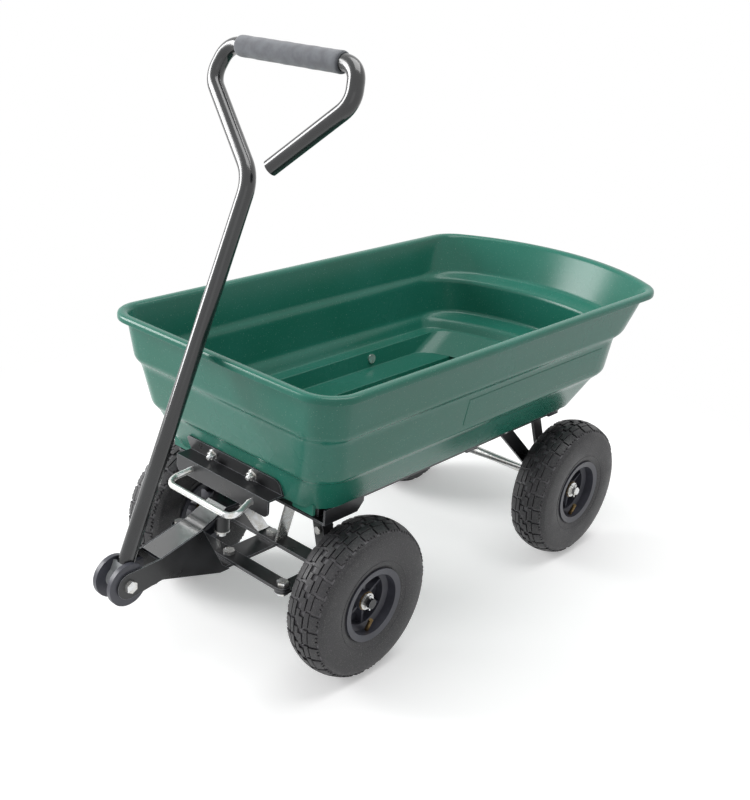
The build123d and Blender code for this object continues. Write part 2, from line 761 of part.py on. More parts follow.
sleeve_bottom_z = arm_top_z - sleeve_length
kingpin_washer_z = sleeve_bottom_z - seat - washer_thickness
kingpin_bottom_z = kingpin_washer_z - kingpin_tail
with BuildPart() as kingpins:
    for side, hand in sides:
        with BuildSketch(Plane.XY.offset(kingpin_bottom_z)):
            with Locations((front_axle_x, side * kingpin_y)):
                Circle(kingpin_radius)
        extrude(amount=beam_top_z - seat - kingpin_bottom_z)
        with BuildSketch(crosswise(front_axle_x)):
            with Locations((side * kingpin_y, (kingpin_bottom_z + kingpin_washer_z) / 2)):
                Circle(split_pin_radius + pin_fit)
        extrude(amount=2 * kingpin_radius, both=True, mode=Mode.SUBTRACT)
    for side, hand in sides:
        add(washer(facing(front_axle_x, side * kingpin_y, kingpin_washer_z, (0, 0, 1)),
                   kingpin_radius + pin_fit))
        add(split_pin(Plane(origin=(front_axle_x, side * kingpin_y,
                                    (kingpin_bottom_z + kingpin_washer_z) / 2),
                            z_dir=(1, 0, 0)), kingpin_radius))
write_piece(kingpins, "kingpins")

bridge_top_z = cross_bottom_z + cross_thickness
strap_top_z = strap_z + strap_thickness
foot_plate_z = arm_top_z - foot_plate_thickness
with BuildPart() as king_bolts:
    add(bolt_and_nut(Plane(origin=(front_axle_x, 0, bridge_top_z), z_dir=(0, 0, 1)),
                     bridge_top_z - strap_z + seat))
    add(bolt_and_nut(Plane(origin=(front_axle_x, 0, beam_top_z), z_dir=(0, 0, 1)),
                     beam_top_z - foot_plate_z + seat))
    with BuildSketch(Plane.XY.offset(strap_top_z + seat)):
        with Locations((front_axle_x, 0)):
            Circle(spacer_radius)
            Circle(bolt_radius + pin_fit, mode=Mode.SUBTRACT)
    extrude(amount=cross_bottom_z - strap_top_z - seat)
write_piece(king_bolts, "king_bolts")

with BuildPart() as frame_bolts:
    for side, hand in sides:
        add(bolt_and_nut(Plane(origin=(front_axle_x + leg_size / 2, side * leg_bolt_y, leg_bolt_z),
                               z_dir=(1, 0, 0)), leg_size, small_bolt_radius, small_bolt_flats,
                         small_bolt_head))
        add(bolt_and_nut(Plane(origin=(strut_bolt_x, side * rail_half_width, tip_z),
                               z_dir=(0, side, 0)), rail_wall + strut_thickness))
write_piece(frame_bolts, "frame_bolts")

keeper_top_z = bridge_top_z
with BuildPart() as latch_keeper:
    with BuildSketch(Plane.XY.offset(keeper_top_z - keeper_thickness)):
        with Locations((gusset_front_x + keeper_depth / 2, 0)):
            Rectangle(keeper_depth, 2 * keeper_half_width)
    extrude(amount=keeper_thickness)
write_piece(latch_keeper, "latch_keeper")

# ================================================================ latch on the tray's front
lip_front_x = bottom_front + bracket_reach
lip_back_x = lip_front_x - bracket_thickness
bracket_middle_z = (bracket_foot_z + bracket_top_z) / 2
with BuildPart() as latch_bracket:
    with BuildSketch(lengthwise(0)):
        with BuildLine():
            Polyline((front_wall_x(bracket_flange_z) + seat, bracket_flange_z),
                     (front_wall_x(bracket_top_z) + seat, bracket_top_z),
                     (front_wall_x(bracket_top_z) + seat + bracket_thickness, bracket_top_z),
                     (front_wall_x(bracket_flange_z + bracket_thickness) + seat
                      + bracket_thickness, bracket_flange_z + bracket_thickness),
                     (lip_front_x, bracket_flange_z + bracket_thickness),
                     (lip_front_x, bracket_foot_z), (lip_back_x, bracket_foot_z),
                     (lip_back_x, bracket_flange_z), close=True)
        make_face()
    extrude(amount=bracket_half_width, both=True)
    with BuildSketch(crosswise(bottom_front)):
        with Locations((0, bracket_middle_z)):
            RectangleRounded(2 * bracket_half_width, bracket_top_z - bracket_foot_z,
                             bracket_corner)
    extrude(amount=2 * bracket_reach, mode=Mode.INTERSECT)
    with BuildSketch(crosswise(lip_back_x)):
        with Locations((bail_root_y, bail_root_z), (-bail_root_y, bail_root_z)):
            Circle(bail_radius + 2 * pin_fit)
    extrude(amount=bracket_thickness, mode=Mode.SUBTRACT)
    for side, hand in sides:
        with BuildSketch(bracket_bolt_plane(side)):
            Circle(small_bolt_radius + hole_fit)
        extrude(amount=2 * bracket_thickness, both=True, mode=Mode.SUBTRACT)
write_piece(latch_bracket, "latch_bracket")

hook_front_x = lip_back_x - latch_travel - 2 * hook_thickness
hook_back_x = hook_front_x - hook_thickness
keeper_front_x = gusset_front_x + keeper_depth
with BuildPart() as latch_hooks:
    with BuildSketch(crosswise(hook_back_x)):
        with Locations((0, bail_root_z)):
            Rectangle(2 * (bail_root_y + hook_plate_height / 2), hook_plate_height)
        with Locations((hook_y, (hook_bottom_z + bail_root_z) / 2),
                       (-hook_y, (hook_bottom_z + bail_root_z) / 2)):
            Rectangle(hook_width, bail_root_z - hook_bottom_z)
    extrude(amount=hook_thickness)
    tooth_back_x = keeper_front_x + keeper_gap
    with BuildSketch(Plane.XY.offset(hook_bottom_z)):
        for side, hand in sides:
            with Locations(((tooth_back_x + hook_back_x) / 2, side * hook_y)):
                Rectangle(hook_back_x - tooth_back_x, hook_width)
    extrude(amount=hook_thickness)
write_piece(latch_hooks, "latch_hooks")

stem_end_x = lip_front_x + bail_stem
droop = radians(bail_droop)
bail_plane = Plane(origin=(stem_end_x, 0, bail_root_z), x_dir=(0, 1, 0),
                   z_dir=(sin(droop), 0, cos(droop)))
bail_length = (bail_reach - bail_stem) / cos(droop)
with BuildPart() as release_bail:
    with BuildLine(bail_plane) as bail_path:
        FilletPolyline((bail_root_y, 0), (bail_half_width, -bail_length),
                       (-bail_half_width, -bail_length), (-bail_root_y, 0), radius=bail_corner)
    with BuildSketch(Plane(origin=bail_path.line @ 0, z_dir=bail_path.line % 0)):
        Circle(bail_radius)
    sweep()
    for side, hand in sides:
        with Locations((stem_end_x, side * bail_root_y, bail_root_z)):
            Sphere(bail_radius)
        with BuildSketch(Plane(origin=(hook_front_x, side * bail_root_y, bail_root_z),
                               z_dir=(1, 0, 0))):
            Circle(bail_radius)
        extrude(amount=stem_end_x - hook_front_x)
write_piece(release_bail, "release_bail")

with BuildPart() as latch_springs:
    for side, hand in sides:
        with BuildSketch(Plane(origin=(lip_back_x - seat, side * bail_root_y, bail_root_z),
                               z_dir=(-1, 0, 0))):
            Circle(bail_radius + seat + spring_wall)
            Circle(bail_radius + seat, mode=Mode.SUBTRACT)
        extrude(amount=lip_back_x - hook_front_x - latch_travel - 2 * seat)
write_piece(latch_springs, "latch_springs")

with BuildPart() as bracket_bolts:
    for side, hand in sides:
        add(bolt_and_nut(bracket_bolt_plane(side), bracket_thickness + tray_wall + 4 * seat,
                         small_bolt_radius, small_bolt_flats, small_bolt_head))
write_piece(bracket_bolts, "bracket_bolts")

# ================================================================ tongue
bend_x = front_axle_x + strap_bend_reach
knee_x = front_axle_x + strap_knee_reach
tip_end_x = front_axle_x + strap_tip_reach
with BuildPart() as tongue_strap:
    with BuildSketch(lengthwise(0)):
        with BuildLine():
            Polyline((front_axle_x, strap_z), (bend_x, strap_z), (knee_x, strap_knee_z),
                     (tip_end_x, strap_tip_z), (tip_end_x, strap_tip_z + strap_thickness),
                     (knee_x, strap_knee_z + strap_thickness), (bend_x, strap_top_z),
                     (front_axle_x, strap_top_z), close=True)
        make_face()
    extrude(amount=plate_inner_y, both=True)
    with BuildSketch(Plane.XY.offset(strap_z)):
        with Locations((front_axle_x, 0)):
            Circle(plate_inner_y)
    extrude(amount=strap_thickness)
    with BuildSketch(Plane.XY.offset(strap_z)):
        with Locations((front_axle_x, 0)):
            Circle(bolt_radius + pin_fit)
    extrude(amount=strap_thickness, mode=Mode.SUBTRACT)
write_piece(tongue_strap, "tongue_strap")

foot_plate_end_x = front_axle_x + foot_plate_front
with BuildPart() as tongue_foot_plate:
    with BuildSketch(Plane.XY.offset(foot_plate_z)):
        with Locations((front_axle_x, 0)):
            Circle(plate_inner_y)
        with Locations(((front_axle_x + foot_plate_end_x) / 2, 0)):
            Rectangle(foot_plate_front, strap_width)
        with Locations((front_axle_x, 0)):
            Circle(bolt_radius + pin_fit, mode=Mode.SUBTRACT)
        with Locations((front_axle_x + arm_length, 0)):
            Circle(bolt_radius + hole_fit, mode=Mode.SUBTRACT)
    extrude(amount=foot_plate_thickness)
write_piece(tongue_foot_plate, "tongue_foot_plate")

for side, hand in sides:
    with BuildPart() as side_plate:
        with BuildSketch(lengthwise(side * (plate_inner_y + side_plate_thickness / 2))):
            with BuildLine():
                Polyline((pivot_x, nose_z + plate_nose_radius),
                         (tip_end_x, strap_tip_z + strap_thickness),
                         (knee_x, strap_knee_z + strap_thickness),
                         (front_axle_x + plate_rise_reach, plate_rise_z),
                         (front_axle_x + plate_heel_reach, foot_plate_z),
                         (front_axle_x + foot_plate_front, foot_plate_z),
                         (front_axle_x + plate_belly_reach, plate_belly_z),
                         (pivot_x, nose_z - plate_nose_radius), close=True)
            make_face()
            with Locations((pivot_x, nose_z)):
                Circle(plate_nose_radius)
                Circle(bolt_radius + hole_fit, mode=Mode.SUBTRACT)
        extrude(amount=side_plate_thickness / 2, both=True)
    write_piece(side_plate, f"tongue_plate_{hand}")

cheek_inner_y = cheek_gap / 2
cheek_thickness = plate_inner_y - seat - cheek_inner_y
for side, hand in sides:
    with BuildPart() as nose_cheek:
        with BuildSketch(lengthwise(side * (cheek_inner_y + cheek_thickness / 2))):
            with Locations((pivot_x, nose_z)):
                Circle(nose_radius)
            with Locations((pivot_x - cheek_tail / 2, nose_z - stop_radius)):
                Rectangle(cheek_tail, cheek_tail_height)
            with Locations((pivot_x, nose_z)):
                Circle(bolt_radius + hole_fit, mode=Mode.SUBTRACT)
        extrude(amount=cheek_thickness / 2, both=True)
    write_piece(nose_cheek, f"nose_cheek_{hand}")

plate_outer_y = plate_inner_y + side_plate_thickness
with BuildPart() as handle_pivot_bolt:
    add(bolt_and_nut(Plane(origin=(pivot_x, plate_outer_y, nose_z), z_dir=(0, 1, 0)),
                     2 * plate_outer_y))
write_piece(handle_pivot_bolt, "handle_pivot_bolt")

stop_offset = tube_radius + seat + stop_radius
stop_x = pivot_x - stop_height * sin(handle_lean_rad) - stop_offset * cos(handle_lean_rad)
stop_z = nose_z + stop_height * cos(handle_lean_rad) - stop_offset * sin(handle_lean_rad)
with BuildPart() as handle_stop:
    with BuildSketch(lengthwise(0)):
        with Locations((stop_x, stop_z)):
            Circle(stop_radius)
    extrude(amount=cheek_inner_y, both=True)
write_piece(handle_stop, "handle_stop")

# ================================================================ steering
tie_x = front_axle_x + arm_length
with BuildPart() as tie_bar:
    with BuildSketch(Plane.XY.offset(steer_plane_z)):
        with Locations((tie_x, 0)):
            SlotCenterToCenter(2 * kingpin_y, tie_width, rotation=90)
        with Locations((tie_x, 0), (tie_x, kingpin_y), (tie_x, -kingpin_y)):
            Circle(bolt_radius + pin_fit, mode=Mode.SUBTRACT)
    extrude(amount=tie_thickness)
write_piece(tie_bar, "tie_bar")

with BuildPart() as tie_bar_bolts:
    for pin_y in (0, kingpin_y, -kingpin_y):
        add(bolt_and_nut(Plane(origin=(tie_x, pin_y, steer_plane_z + tie_thickness),
                               z_dir=(0, 0, 1)), tie_thickness + arm_thickness + 2 * seat))
write_piece(tie_bar_bolts, "tie_bar_bolts")

front_wheel_y = front_track / 2
stub_end_y = front_wheel_y + wheel_half + axle_end
stub_pin_y = stub_end_y - split_pin_setback
for side, hand in sides:
    with BuildPart() as knuckle:
        with BuildSketch(Plane.XY.offset(sleeve_bottom_z)):
            with Locations((front_axle_x, side * kingpin_y)):
                Circle(sleeve_radius)
        extrude(amount=sleeve_length)
        with BuildSketch(Plane.XY.offset(arm_top_z - arm_thickness)):
            with Locations((front_axle_x + arm_length / 2, side * kingpin_y)):
                SlotCenterToCenter(arm_length, arm_width)
        extrude(amount=arm_thickness)
        with BuildSketch(facing(front_axle_x, side * kingpin_y, axle_z, (0, side, 0))):
            Circle(stub_shoulder_radius)
        extrude(amount=front_wheel_y - wheel_half - seat - kingpin_y)
        with BuildSketch(facing(front_axle_x, side * kingpin_y, axle_z, (0, side, 0))):
            Circle(axle_radius)
        extrude(amount=stub_end_y - kingpin_y)
        with BuildSketch(Plane.XY.offset(kingpin_bottom_z)):
            with Locations((front_axle_x, side * kingpin_y)):
                Circle(kingpin_radius + pin_fit)
        extrude(amount=2 * sleeve_length, mode=Mode.SUBTRACT)
        with BuildSketch(Plane.XY.offset(steer_plane_z)):
            with Locations((front_axle_x + arm_length, side * kingpin_y)):
                Circle(bolt_radius + (pin_fit if side == 1 else hole_fit))
        extrude(amount=-2 * arm_thickness, mode=Mode.SUBTRACT)
        with BuildSketch(Plane.XY.offset(axle_z)):
            with Locations((front_axle_x, side * stub_pin_y)):
                Circle(split_pin_radius + pin_fit)
        extrude(amount=2 * axle_radius, both=True, mode=Mode.SUBTRACT)
    write_piece(knuckle, f"knuckle_{hand}")
    with BuildPart() as stub_fittings:
        add(washer(facing(front_axle_x, side * (front_wheel_y + wheel_half + seat), axle_z,
                          (0, side, 0)), axle_radius + pin_fit))
        add(split_pin(Plane(origin=(front_axle_x, side * stub_pin_y, axle_z), z_dir=(0, 0, 1)),
                      axle_radius))
    write_piece(stub_fittings, f"stub_fittings_{hand}")

# ================================================================ handle
with BuildPart() as handle_tube:
    with BuildLine(handle_plane) as tube_path:
        FilletPolyline((0, foot_length), (0, neck_length), (-loop_shoulder_y, loop_shoulder),
                       (-loop_top_y, handle_length), (loop_top_y, handle_length),
                       (loop_shoulder_y, loop_shoulder), (loop_end_y, loop_end),
                       radius=(neck_bend, shoulder_bend, top_bend, top_bend, shoulder_bend))
    with BuildSketch(Plane(origin=tube_path.line @ 0, z_dir=tube_path.line % 0)):
        Circle(tube_radius)
        Circle(tube_radius - tube_wall, mode=Mode.SUBTRACT)
    sweep()
write_piece(handle_tube, "handle_tube")

grip_centre = handle_plane.origin + handle_dir * handle_length
with BuildPart() as handle_grip:
    with BuildSketch(Plane(origin=grip_centre, z_dir=(0, 1, 0))):
        Circle(grip_radius)
    extrude(amount=grip_half_length, both=True)
    fillet(handle_grip.edges().filter_by(GeomType.CIRCLE), (grip_radius - tube_radius) / 2)
    with BuildSketch(Plane(origin=grip_centre, z_dir=(0, 1, 0))):
        Circle(tube_radius + pin_fit)
    extrude(amount=2 * grip_half_length, both=True, mode=Mode.SUBTRACT)
write_piece(handle_grip, "handle_grip")

with BuildPart() as handle_foot:
    with BuildSketch(handle_side):
        Circle(foot_radius)
        with Locations((0, foot_length / 2)):
            Rectangle(2 * tube_radius, foot_length)
    extrude(amount=foot_width / 2, both=True)
    with BuildSketch(Plane(origin=handle_plane.origin + handle_dir * foot_length,
                           z_dir=handle_dir)):
        Circle(tube_radius - tube_wall - pin_fit)
    extrude(amount=plug_length)
    with BuildSketch(handle_side):
        Circle(bolt_radius + pin_fit)
    extrude(amount=foot_width, both=True, mode=Mode.SUBTRACT)
write_piece(handle_foot, "handle_foot")


# ================================================================ wheels
def flats(start, middle, end, count):
    """Points of an arc through three points, for a profile made of flat bands."""
    arc = ThreePointArc(start, middle, end, mode=Mode.PRIVATE)
    return [arc @ (step / count) for step in range(1, count + 1)]


def tyre_outline(skin):
    """Closed outline of a tyre drawn in by a skin thickness: crown, shoulders, sidewalls, beads."""
    crown = tyre_diameter / 2 - skin
    half = tyre_width / 2 - skin
    shoulder = (tread_width / 2 - skin, crown - tread_drop)
    wall_top = ((tread_width / 2 + tyre_width / 2) / 2 - skin, crown - shoulder_drop)
    bulge = (half, (bead_radius + crown) / 2)
    bead_top = (bead_width / 2 - skin, rim_lip_radius + seat)
    bead = (bead_width / 2 - skin, bead_radius)
    right = [bead, bead_top, *flats(bead_top, bulge, wall_top, 4), shoulder,
             *flats(shoulder, (0, crown), (-shoulder[0], shoulder[1]), 4)]
    left = [(-wall_top[0], wall_top[1]),
            *flats((-wall_top[0], wall_top[1]), (-bulge[0], bulge[1]), (-bead_top[0], bead_top[1]), 4),
            (-bead[0], bead[1])]
    return right + left


def wheel_plane(x, y):
    """Plane through a wheel's axis: sketches on it are drawn in Y and radius."""
    return Plane(origin=(x, y, axle_z), x_dir=(0, 1, 0), z_dir=(1, 0, 0))


def make_tyre(x, y):
    """Hollow tyre, open at the beads."""
    with BuildPart() as tyre:
        with BuildSketch(wheel_plane(x, y)):
            for skin, mode in ((0, Mode.ADD), (tyre_wall, Mode.SUBTRACT)):
                with BuildLine():
                    Polyline(*tyre_outline(skin), close=True)
                make_face(mode=mode)
        revolve(axis=Axis((x, y, axle_z), (0, 1, 0)))
    return tyre


def make_rim(x, y):
    """One-piece moulded rim: drop-centre barrel, ribbed web and hub tube."""
    half = rim_width / 2
    well = rim_well_width / 2
    seat_radius = bead_radius - seat
    flange_y = bead_width / 2 + seat
    with BuildPart() as rim:
        with BuildSketch(wheel_plane(x, y)):
            for hand_y in (1, -1):
                with BuildLine():
                    Polyline((0, rim_well_radius), (hand_y * well, rim_well_radius),
                             (hand_y * (well + rim_well_slope), seat_radius),
                             (hand_y * flange_y, seat_radius),
                             (hand_y * (flange_y + rim_skin / 2), rim_lip_radius),
                             (hand_y * half, rim_lip_radius),
                             (hand_y * (half - rim_skin / 2), seat_radius - rim_skin),
                             (hand_y * (well + rim_well_slope + rim_skin / 2),
                              seat_radius - rim_skin),
                             (hand_y * (well + rim_skin / 2), rim_well_radius - rim_skin),
                             (0, rim_well_radius - rim_skin), close=True)
                make_face()
            with Locations((0, (web_inner_radius + rim_well_radius - rim_skin / 2) / 2)):
                Rectangle(web_thickness, rim_well_radius - rim_skin / 2 - web_inner_radius)
            with Locations((0, hub_radius / 2)):
                Rectangle(hub_length, hub_radius)
        revolve(axis=Axis((x, y, axle_z), (0, 1, 0)))
        with BuildSketch(Plane(origin=(x, y, axle_z), z_dir=(0, 1, 0))):
            rib_outer = rim_well_radius - rim_skin / 2
            rib_inner = hub_radius - rim_skin / 2
            with PolarLocations((rib_outer + rib_inner) / 2, rib_count):
                Rectangle(rib_outer - rib_inner, rib_thickness)
        extrude(amount=rib_depth / 2, both=True)
        with BuildSketch(Plane(origin=(x, y, axle_z), z_dir=(0, 1, 0))):
            Circle(axle_radius + bush_wall)
        extrude(amount=hub_length, both=True, mode=Mode.SUBTRACT)
    return rim


def make_fittings(x, y, side):
    """Flanged bushes at both ends of the hub, and the tube valve through the rim."""
    with BuildPart() as fittings:
        for end in (1, -1):
            with BuildSketch(facing(x, y + end * hub_length / 2, axle_z, (0, end, 0))):
                Circle(bush_flange_radius)
            extrude(amount=bush_flange)
            with BuildSketch(facing(x, y + end * hub_length / 2, axle_z, (0, -end, 0))):
                Circle(axle_radius + bush_wall - pin_fit)
            extrude(amount=bush_length)
        with BuildSketch(facing(x, y, axle_z, (0, 1, 0))):
            Circle(axle_radius + pin_fit)
        extrude(amount=hub_length, both=True, mode=Mode.SUBTRACT)
        tilt = radians(valve_tilt)
        valve_y = y + side * (rim_well_width / 2 + rim_well_slope + 2 * valve_radius)
        valve_foot = bead_radius - rim_skin - 2 * seat - valve_radius * sin(tilt)
        with BuildSketch(Plane(origin=(x, valve_y, axle_z - valve_foot),
                               z_dir=(0, side * sin(tilt), cos(tilt)))):
            Circle(valve_radius)
        extrude(amount=valve_length)
    return fittings


wheels = [(f"front_{hand}", front_axle_x, side * front_wheel_y, side) for side, hand in sides]
wheels += [(f"rear_{hand}", rear_axle_x, side * rear_wheel_y, side) for side, hand in sides]
for name, wheel_x, wheel_y, side in wheels:
    tyre = make_tyre(wheel_x, wheel_y)
    write_piece(tyre, f"{name}_tyre")
    rim = make_rim(wheel_x, wheel_y)
    write_piece(rim, f"{name}_rim")
    fittings = make_fittings(wheel_x, wheel_y, side)
    write_piece(fittings, f"{name}_fittings")
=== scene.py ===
import json
import math

import bpy
import numpy as np
from mathutils import Matrix, Vector


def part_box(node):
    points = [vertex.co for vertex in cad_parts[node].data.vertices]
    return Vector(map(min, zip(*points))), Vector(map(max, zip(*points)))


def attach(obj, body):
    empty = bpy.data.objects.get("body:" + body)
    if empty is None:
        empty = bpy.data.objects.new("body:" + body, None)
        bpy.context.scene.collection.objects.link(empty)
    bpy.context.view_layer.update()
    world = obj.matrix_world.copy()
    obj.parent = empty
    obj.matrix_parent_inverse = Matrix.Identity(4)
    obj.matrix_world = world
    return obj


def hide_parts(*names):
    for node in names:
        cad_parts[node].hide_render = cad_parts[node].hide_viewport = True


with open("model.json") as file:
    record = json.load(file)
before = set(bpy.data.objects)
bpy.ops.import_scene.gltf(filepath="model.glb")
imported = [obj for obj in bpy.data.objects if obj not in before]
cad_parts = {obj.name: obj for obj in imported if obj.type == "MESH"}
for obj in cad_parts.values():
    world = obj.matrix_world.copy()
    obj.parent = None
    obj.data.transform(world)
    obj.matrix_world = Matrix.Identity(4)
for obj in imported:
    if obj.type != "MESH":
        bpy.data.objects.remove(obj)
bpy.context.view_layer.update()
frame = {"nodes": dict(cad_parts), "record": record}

# Garden dump cart. +X points forward to the pull handle, +Y to the cart's left, +Z up, metres.
MM = 0.001
nodes = frame["nodes"]
WHEELS = ("front_left", "front_right", "rear_left", "rear_right")


# ---------------------------------------------------------------- materials
EDGE_WIDTH = 1.2
# cosine of the turn between the eased and the flat normal, where the painted edge highlight starts
# and is full
HIGHLIGHT_START = 0.985
HIGHLIGHT_FULL = 0.86


def shade(code):
    """An sRGB hex colour as linear red, green, blue and alpha."""
    channels = [int(code[start:start + 2], 16) / 255 for start in (0, 2, 4)]
    return [c / 12.92 if c <= 0.04045 else ((c + 0.055) / 1.055) ** 2.4 for c in channels] + [1.0]


def add_node(tree, kind, settings=(), links=()):
    """Adds a node, gives its sockets and options their values, and links what feeds it."""
    made = tree.nodes.new(kind)
    for name, value in dict(settings).items():
        if isinstance(name, int) or name in made.inputs:
            made.inputs[name].default_value = value
        else:
            setattr(made, name, value)
    for name, source in dict(links).items():
        tree.links.new(source, made.inputs[name])
    return made


def per_mm(size):
    """Pattern scale for a feature of this many millimetres."""
    return 1 / (size * MM)


def start_material(name, settings):
    """A new material with a Principled surface, and the place of each point on the piece."""
    material = bpy.data.materials.new(name)
    material.use_nodes = True
    tree = material.node_tree
    surface = tree.nodes["Principled BSDF"]
    for socket, value in settings.items():
        surface.inputs[socket].default_value = value
    place = add_node(tree, "ShaderNodeTexCoord").outputs["Object"]
    return material, tree, surface, place


def patches(tree, place, size, detail=4.0, low=0.35, high=0.65):
    """Cloudy patches of about this size in millimetres, from 0 to 1."""
    cloud = add_node(tree, "ShaderNodeTexNoise", {"Scale": per_mm(size), "Detail": detail},
                     {"Vector": place})
    spread = add_node(tree, "ShaderNodeMapRange", {"From Min": low, "From Max": high},
                      {"Value": cloud.outputs["Fac"]})
    return spread.outputs["Result"]


def two_tone(tree, factor, first, second):
    """Goes from one colour or colour socket to another as the factor rises."""
    mix = add_node(tree, "ShaderNodeMix", {"data_type": "RGBA"}, {"Factor": factor})
    for socket, colour in ((mix.inputs[6], first), (mix.inputs[7], second)):
        if isinstance(colour, str):
            socket.default_value = shade(colour)
        else:
            tree.links.new(colour, socket)
    return mix.outputs[2]


def between(tree, factor, low, high):
    """A number from low to high as the factor rises from 0 to 1."""
    ranged = add_node(tree, "ShaderNodeMapRange", {"To Min": low, "To Max": high},
                      {"Value": factor})
    return ranged.outputs["Result"]


def relief(tree, surface, height, depth):
    """Bump of this depth in millimetres."""
    bump = add_node(tree, "ShaderNodeBump", {"Distance": depth * MM, "Strength": 1.0},
                    {"Height": height})
    tree.links.new(bump.outputs["Normal"], surface.inputs["Normal"])


def seen_or_mirrored(tree):
    """1 for rays from the camera, off a gloss or through a clear thing, otherwise 0."""
    path = add_node(tree, "ShaderNodeLightPath")
    seen = add_node(tree, "ShaderNodeMath", {"operation": "MAXIMUM"},
                    {0: path.outputs["Is Camera Ray"], 1: path.outputs["Is Glossy Ray"]})
    seen = add_node(tree, "ShaderNodeMath", {"operation": "MAXIMUM"},
                    {0: seen.outputs[0], 1: path.outputs["Is Transmission Ray"]})
    return seen.outputs[0]


def painted_edge_highlight(tree):
    """From 0 on flat faces to 1 on the narrow edges, where a pale grey is painted on as a highlight.
    """
    rounded = add_node(tree, "ShaderNodeBevel", {"samples": 4, "Radius": EDGE_WIDTH * MM})
    flat = add_node(tree, "ShaderNodeNewGeometry")
    turn = add_node(tree, "ShaderNodeVectorMath", {"operation": "DOT_PRODUCT"}, {
        0: rounded.outputs["Normal"], 1: flat.outputs["True Normal"]})
    edge = add_node(tree, "ShaderNodeMapRange", {"From Min": HIGHLIGHT_START, "From Max": HIGHLIGHT_FULL},
                    {"Value": turn.outputs["Value"]})
    return edge.outputs["Result"]


def make_moulded_polyethylene():
    """Blow-moulded polyethylene, pigmented green: a waxy half gloss with fine orange peel,
    a little chalking in cloudy patches, and pale dust specks."""
    material, tree, surface, place = start_material(
        "moulded_polyethylene", {"IOR": 1.52, "Specular IOR Level": 0.32})
    cloud = patches(tree, place, 160)
    speck = patches(tree, place, 2.2, 2.0, 0.66, 0.72)
    green = two_tone(tree, cloud, "1c6453", "22695a")
    dusty = two_tone(tree, between(tree, speck, 0, 0.3), green, "8fb3a8")
    tree.links.new(dusty, surface.inputs["Base Color"])
    tree.links.new(between(tree, cloud, 0.22, 0.28), surface.inputs["Roughness"])
    peel = patches(tree, place, 3.0, 3.0, 0.2, 0.8)
    relief(tree, surface, peel, 0.05)
    return material


def make_powder_coat(name, gloss, coat_index):
    """Black polyester powder coat on steel, with the shallow peel that the oven leaves, a thin grey
    film of dust and a pale grey painted highlight along its edges. The coat's index sets how much
    sky its flat faces mirror."""
    material, tree, surface, place = start_material(
        name, {"IOR": 1.5, "Coat Weight": gloss, "Coat IOR": coat_index, "Coat Roughness": 0.14})
    cloud = patches(tree, place, 45)
    black = two_tone(tree, cloud, "111214", "1c1d20")
    # pale grey painted on the edges stands in for the highlight that they catch
    tree.links.new(two_tone(tree, painted_edge_highlight(tree), black, "8d9096"), surface.inputs["Base Color"])
    tree.links.new(between(tree, cloud, 0.26, 0.38), surface.inputs["Roughness"])
    relief(tree, surface, patches(tree, place, 1.6, 2.0, 0.2, 0.8), 0.04)
    return material


def make_gloss_enamel():
    """Black stoved enamel on drawn tube: a wet gloss that mirrors the light along its length."""
    material, tree, surface, place = start_material(
        "black_gloss_enamel", {"IOR": 1.52, "Coat Weight": 0.6, "Coat Roughness": 0.06})
    cloud = patches(tree, place, 60)
    tree.links.new(two_tone(tree, cloud, "141517", "1c1e20"), surface.inputs["Base Color"])
    tree.links.new(between(tree, cloud, 0.2, 0.28), surface.inputs["Roughness"])
    relief(tree, surface, patches(tree, place, 5.0, 2.0, 0.2, 0.8), 0.02)
    return material


def make_zinc_plate():
    """Bright zinc plate with clear passivation: cool silver with faint cloudy yellowing."""
    material, tree, surface, place = start_material("bright_zinc_plate", {"Metallic": 0.7})
    cloud = patches(tree, place, 9)
    tree.links.new(two_tone(tree, cloud, "e6e8ea", "d8d6d0"), surface.inputs["Base Color"])
    tree.links.new(between(tree, cloud, 0.2, 0.28), surface.inputs["Roughness"])
    return material


def make_moulded_polypropylene(name, dark, light, rough):
    """Injection-moulded polypropylene: an even fine spark-eroded grain with a dull sheen."""
    material, tree, surface, place = start_material(name, {"IOR": 1.49})
    cloud = patches(tree, place, 30)
    tree.links.new(two_tone(tree, cloud, dark, light), surface.inputs["Base Color"])
    tree.links.new(between(tree, cloud, rough - 0.04, rough + 0.06), surface.inputs["Roughness"])
    relief(tree, surface, patches(tree, place, 0.9, 2.0, 0.25, 0.75), 0.05)
    return material


def make_grip_foam():
    """Closed-cell rubber foam: matt charcoal with visible cells. The real cells are about
    0.4 mm, and are drawn at 1.1 mm so that they show."""
    material, tree, surface, place = start_material(
        "closed_cell_foam", {"IOR": 1.4, "Sheen Weight": 0.35, "Sheen Roughness": 0.5})
    cells = add_node(tree, "ShaderNodeTexVoronoi", {"Scale": per_mm(1.1)}, {"Vector": place})
    worn = patches(tree, place, 14)
    tree.links.new(two_tone(tree, worn, "53555a", "65686d"), surface.inputs["Base Color"])
    tree.links.new(between(tree, worn, 0.78, 0.9), surface.inputs["Roughness"])
    relief(tree, surface, cells.outputs["Distance"], 0.16)
    return material


def make_rubber(name, dark, light, grit_share):
    """Vulcanised carbon-black rubber: dark grey and dull, dusted in patches, with mould grain
    and specks of grit."""
    material, tree, surface, place = start_material(name, {"IOR": 1.52})
    dust = patches(tree, place, 26, 6.0, 0.4, 0.72)
    grit = patches(tree, place, 1.5, 2.0, 0.55, 0.7)
    grey = two_tone(tree, dust, dark, light)
    dusty = two_tone(tree, between(tree, grit, 0, grit_share), grey, "7f7c7a")
    tree.links.new(dusty, surface.inputs["Base Color"])
    tree.links.new(between(tree, dust, 0.42, 0.62), surface.inputs["Roughness"])
    relief(tree, surface, patches(tree, place, 1.2, 3.0, 0.2, 0.8), 0.12)
    return material


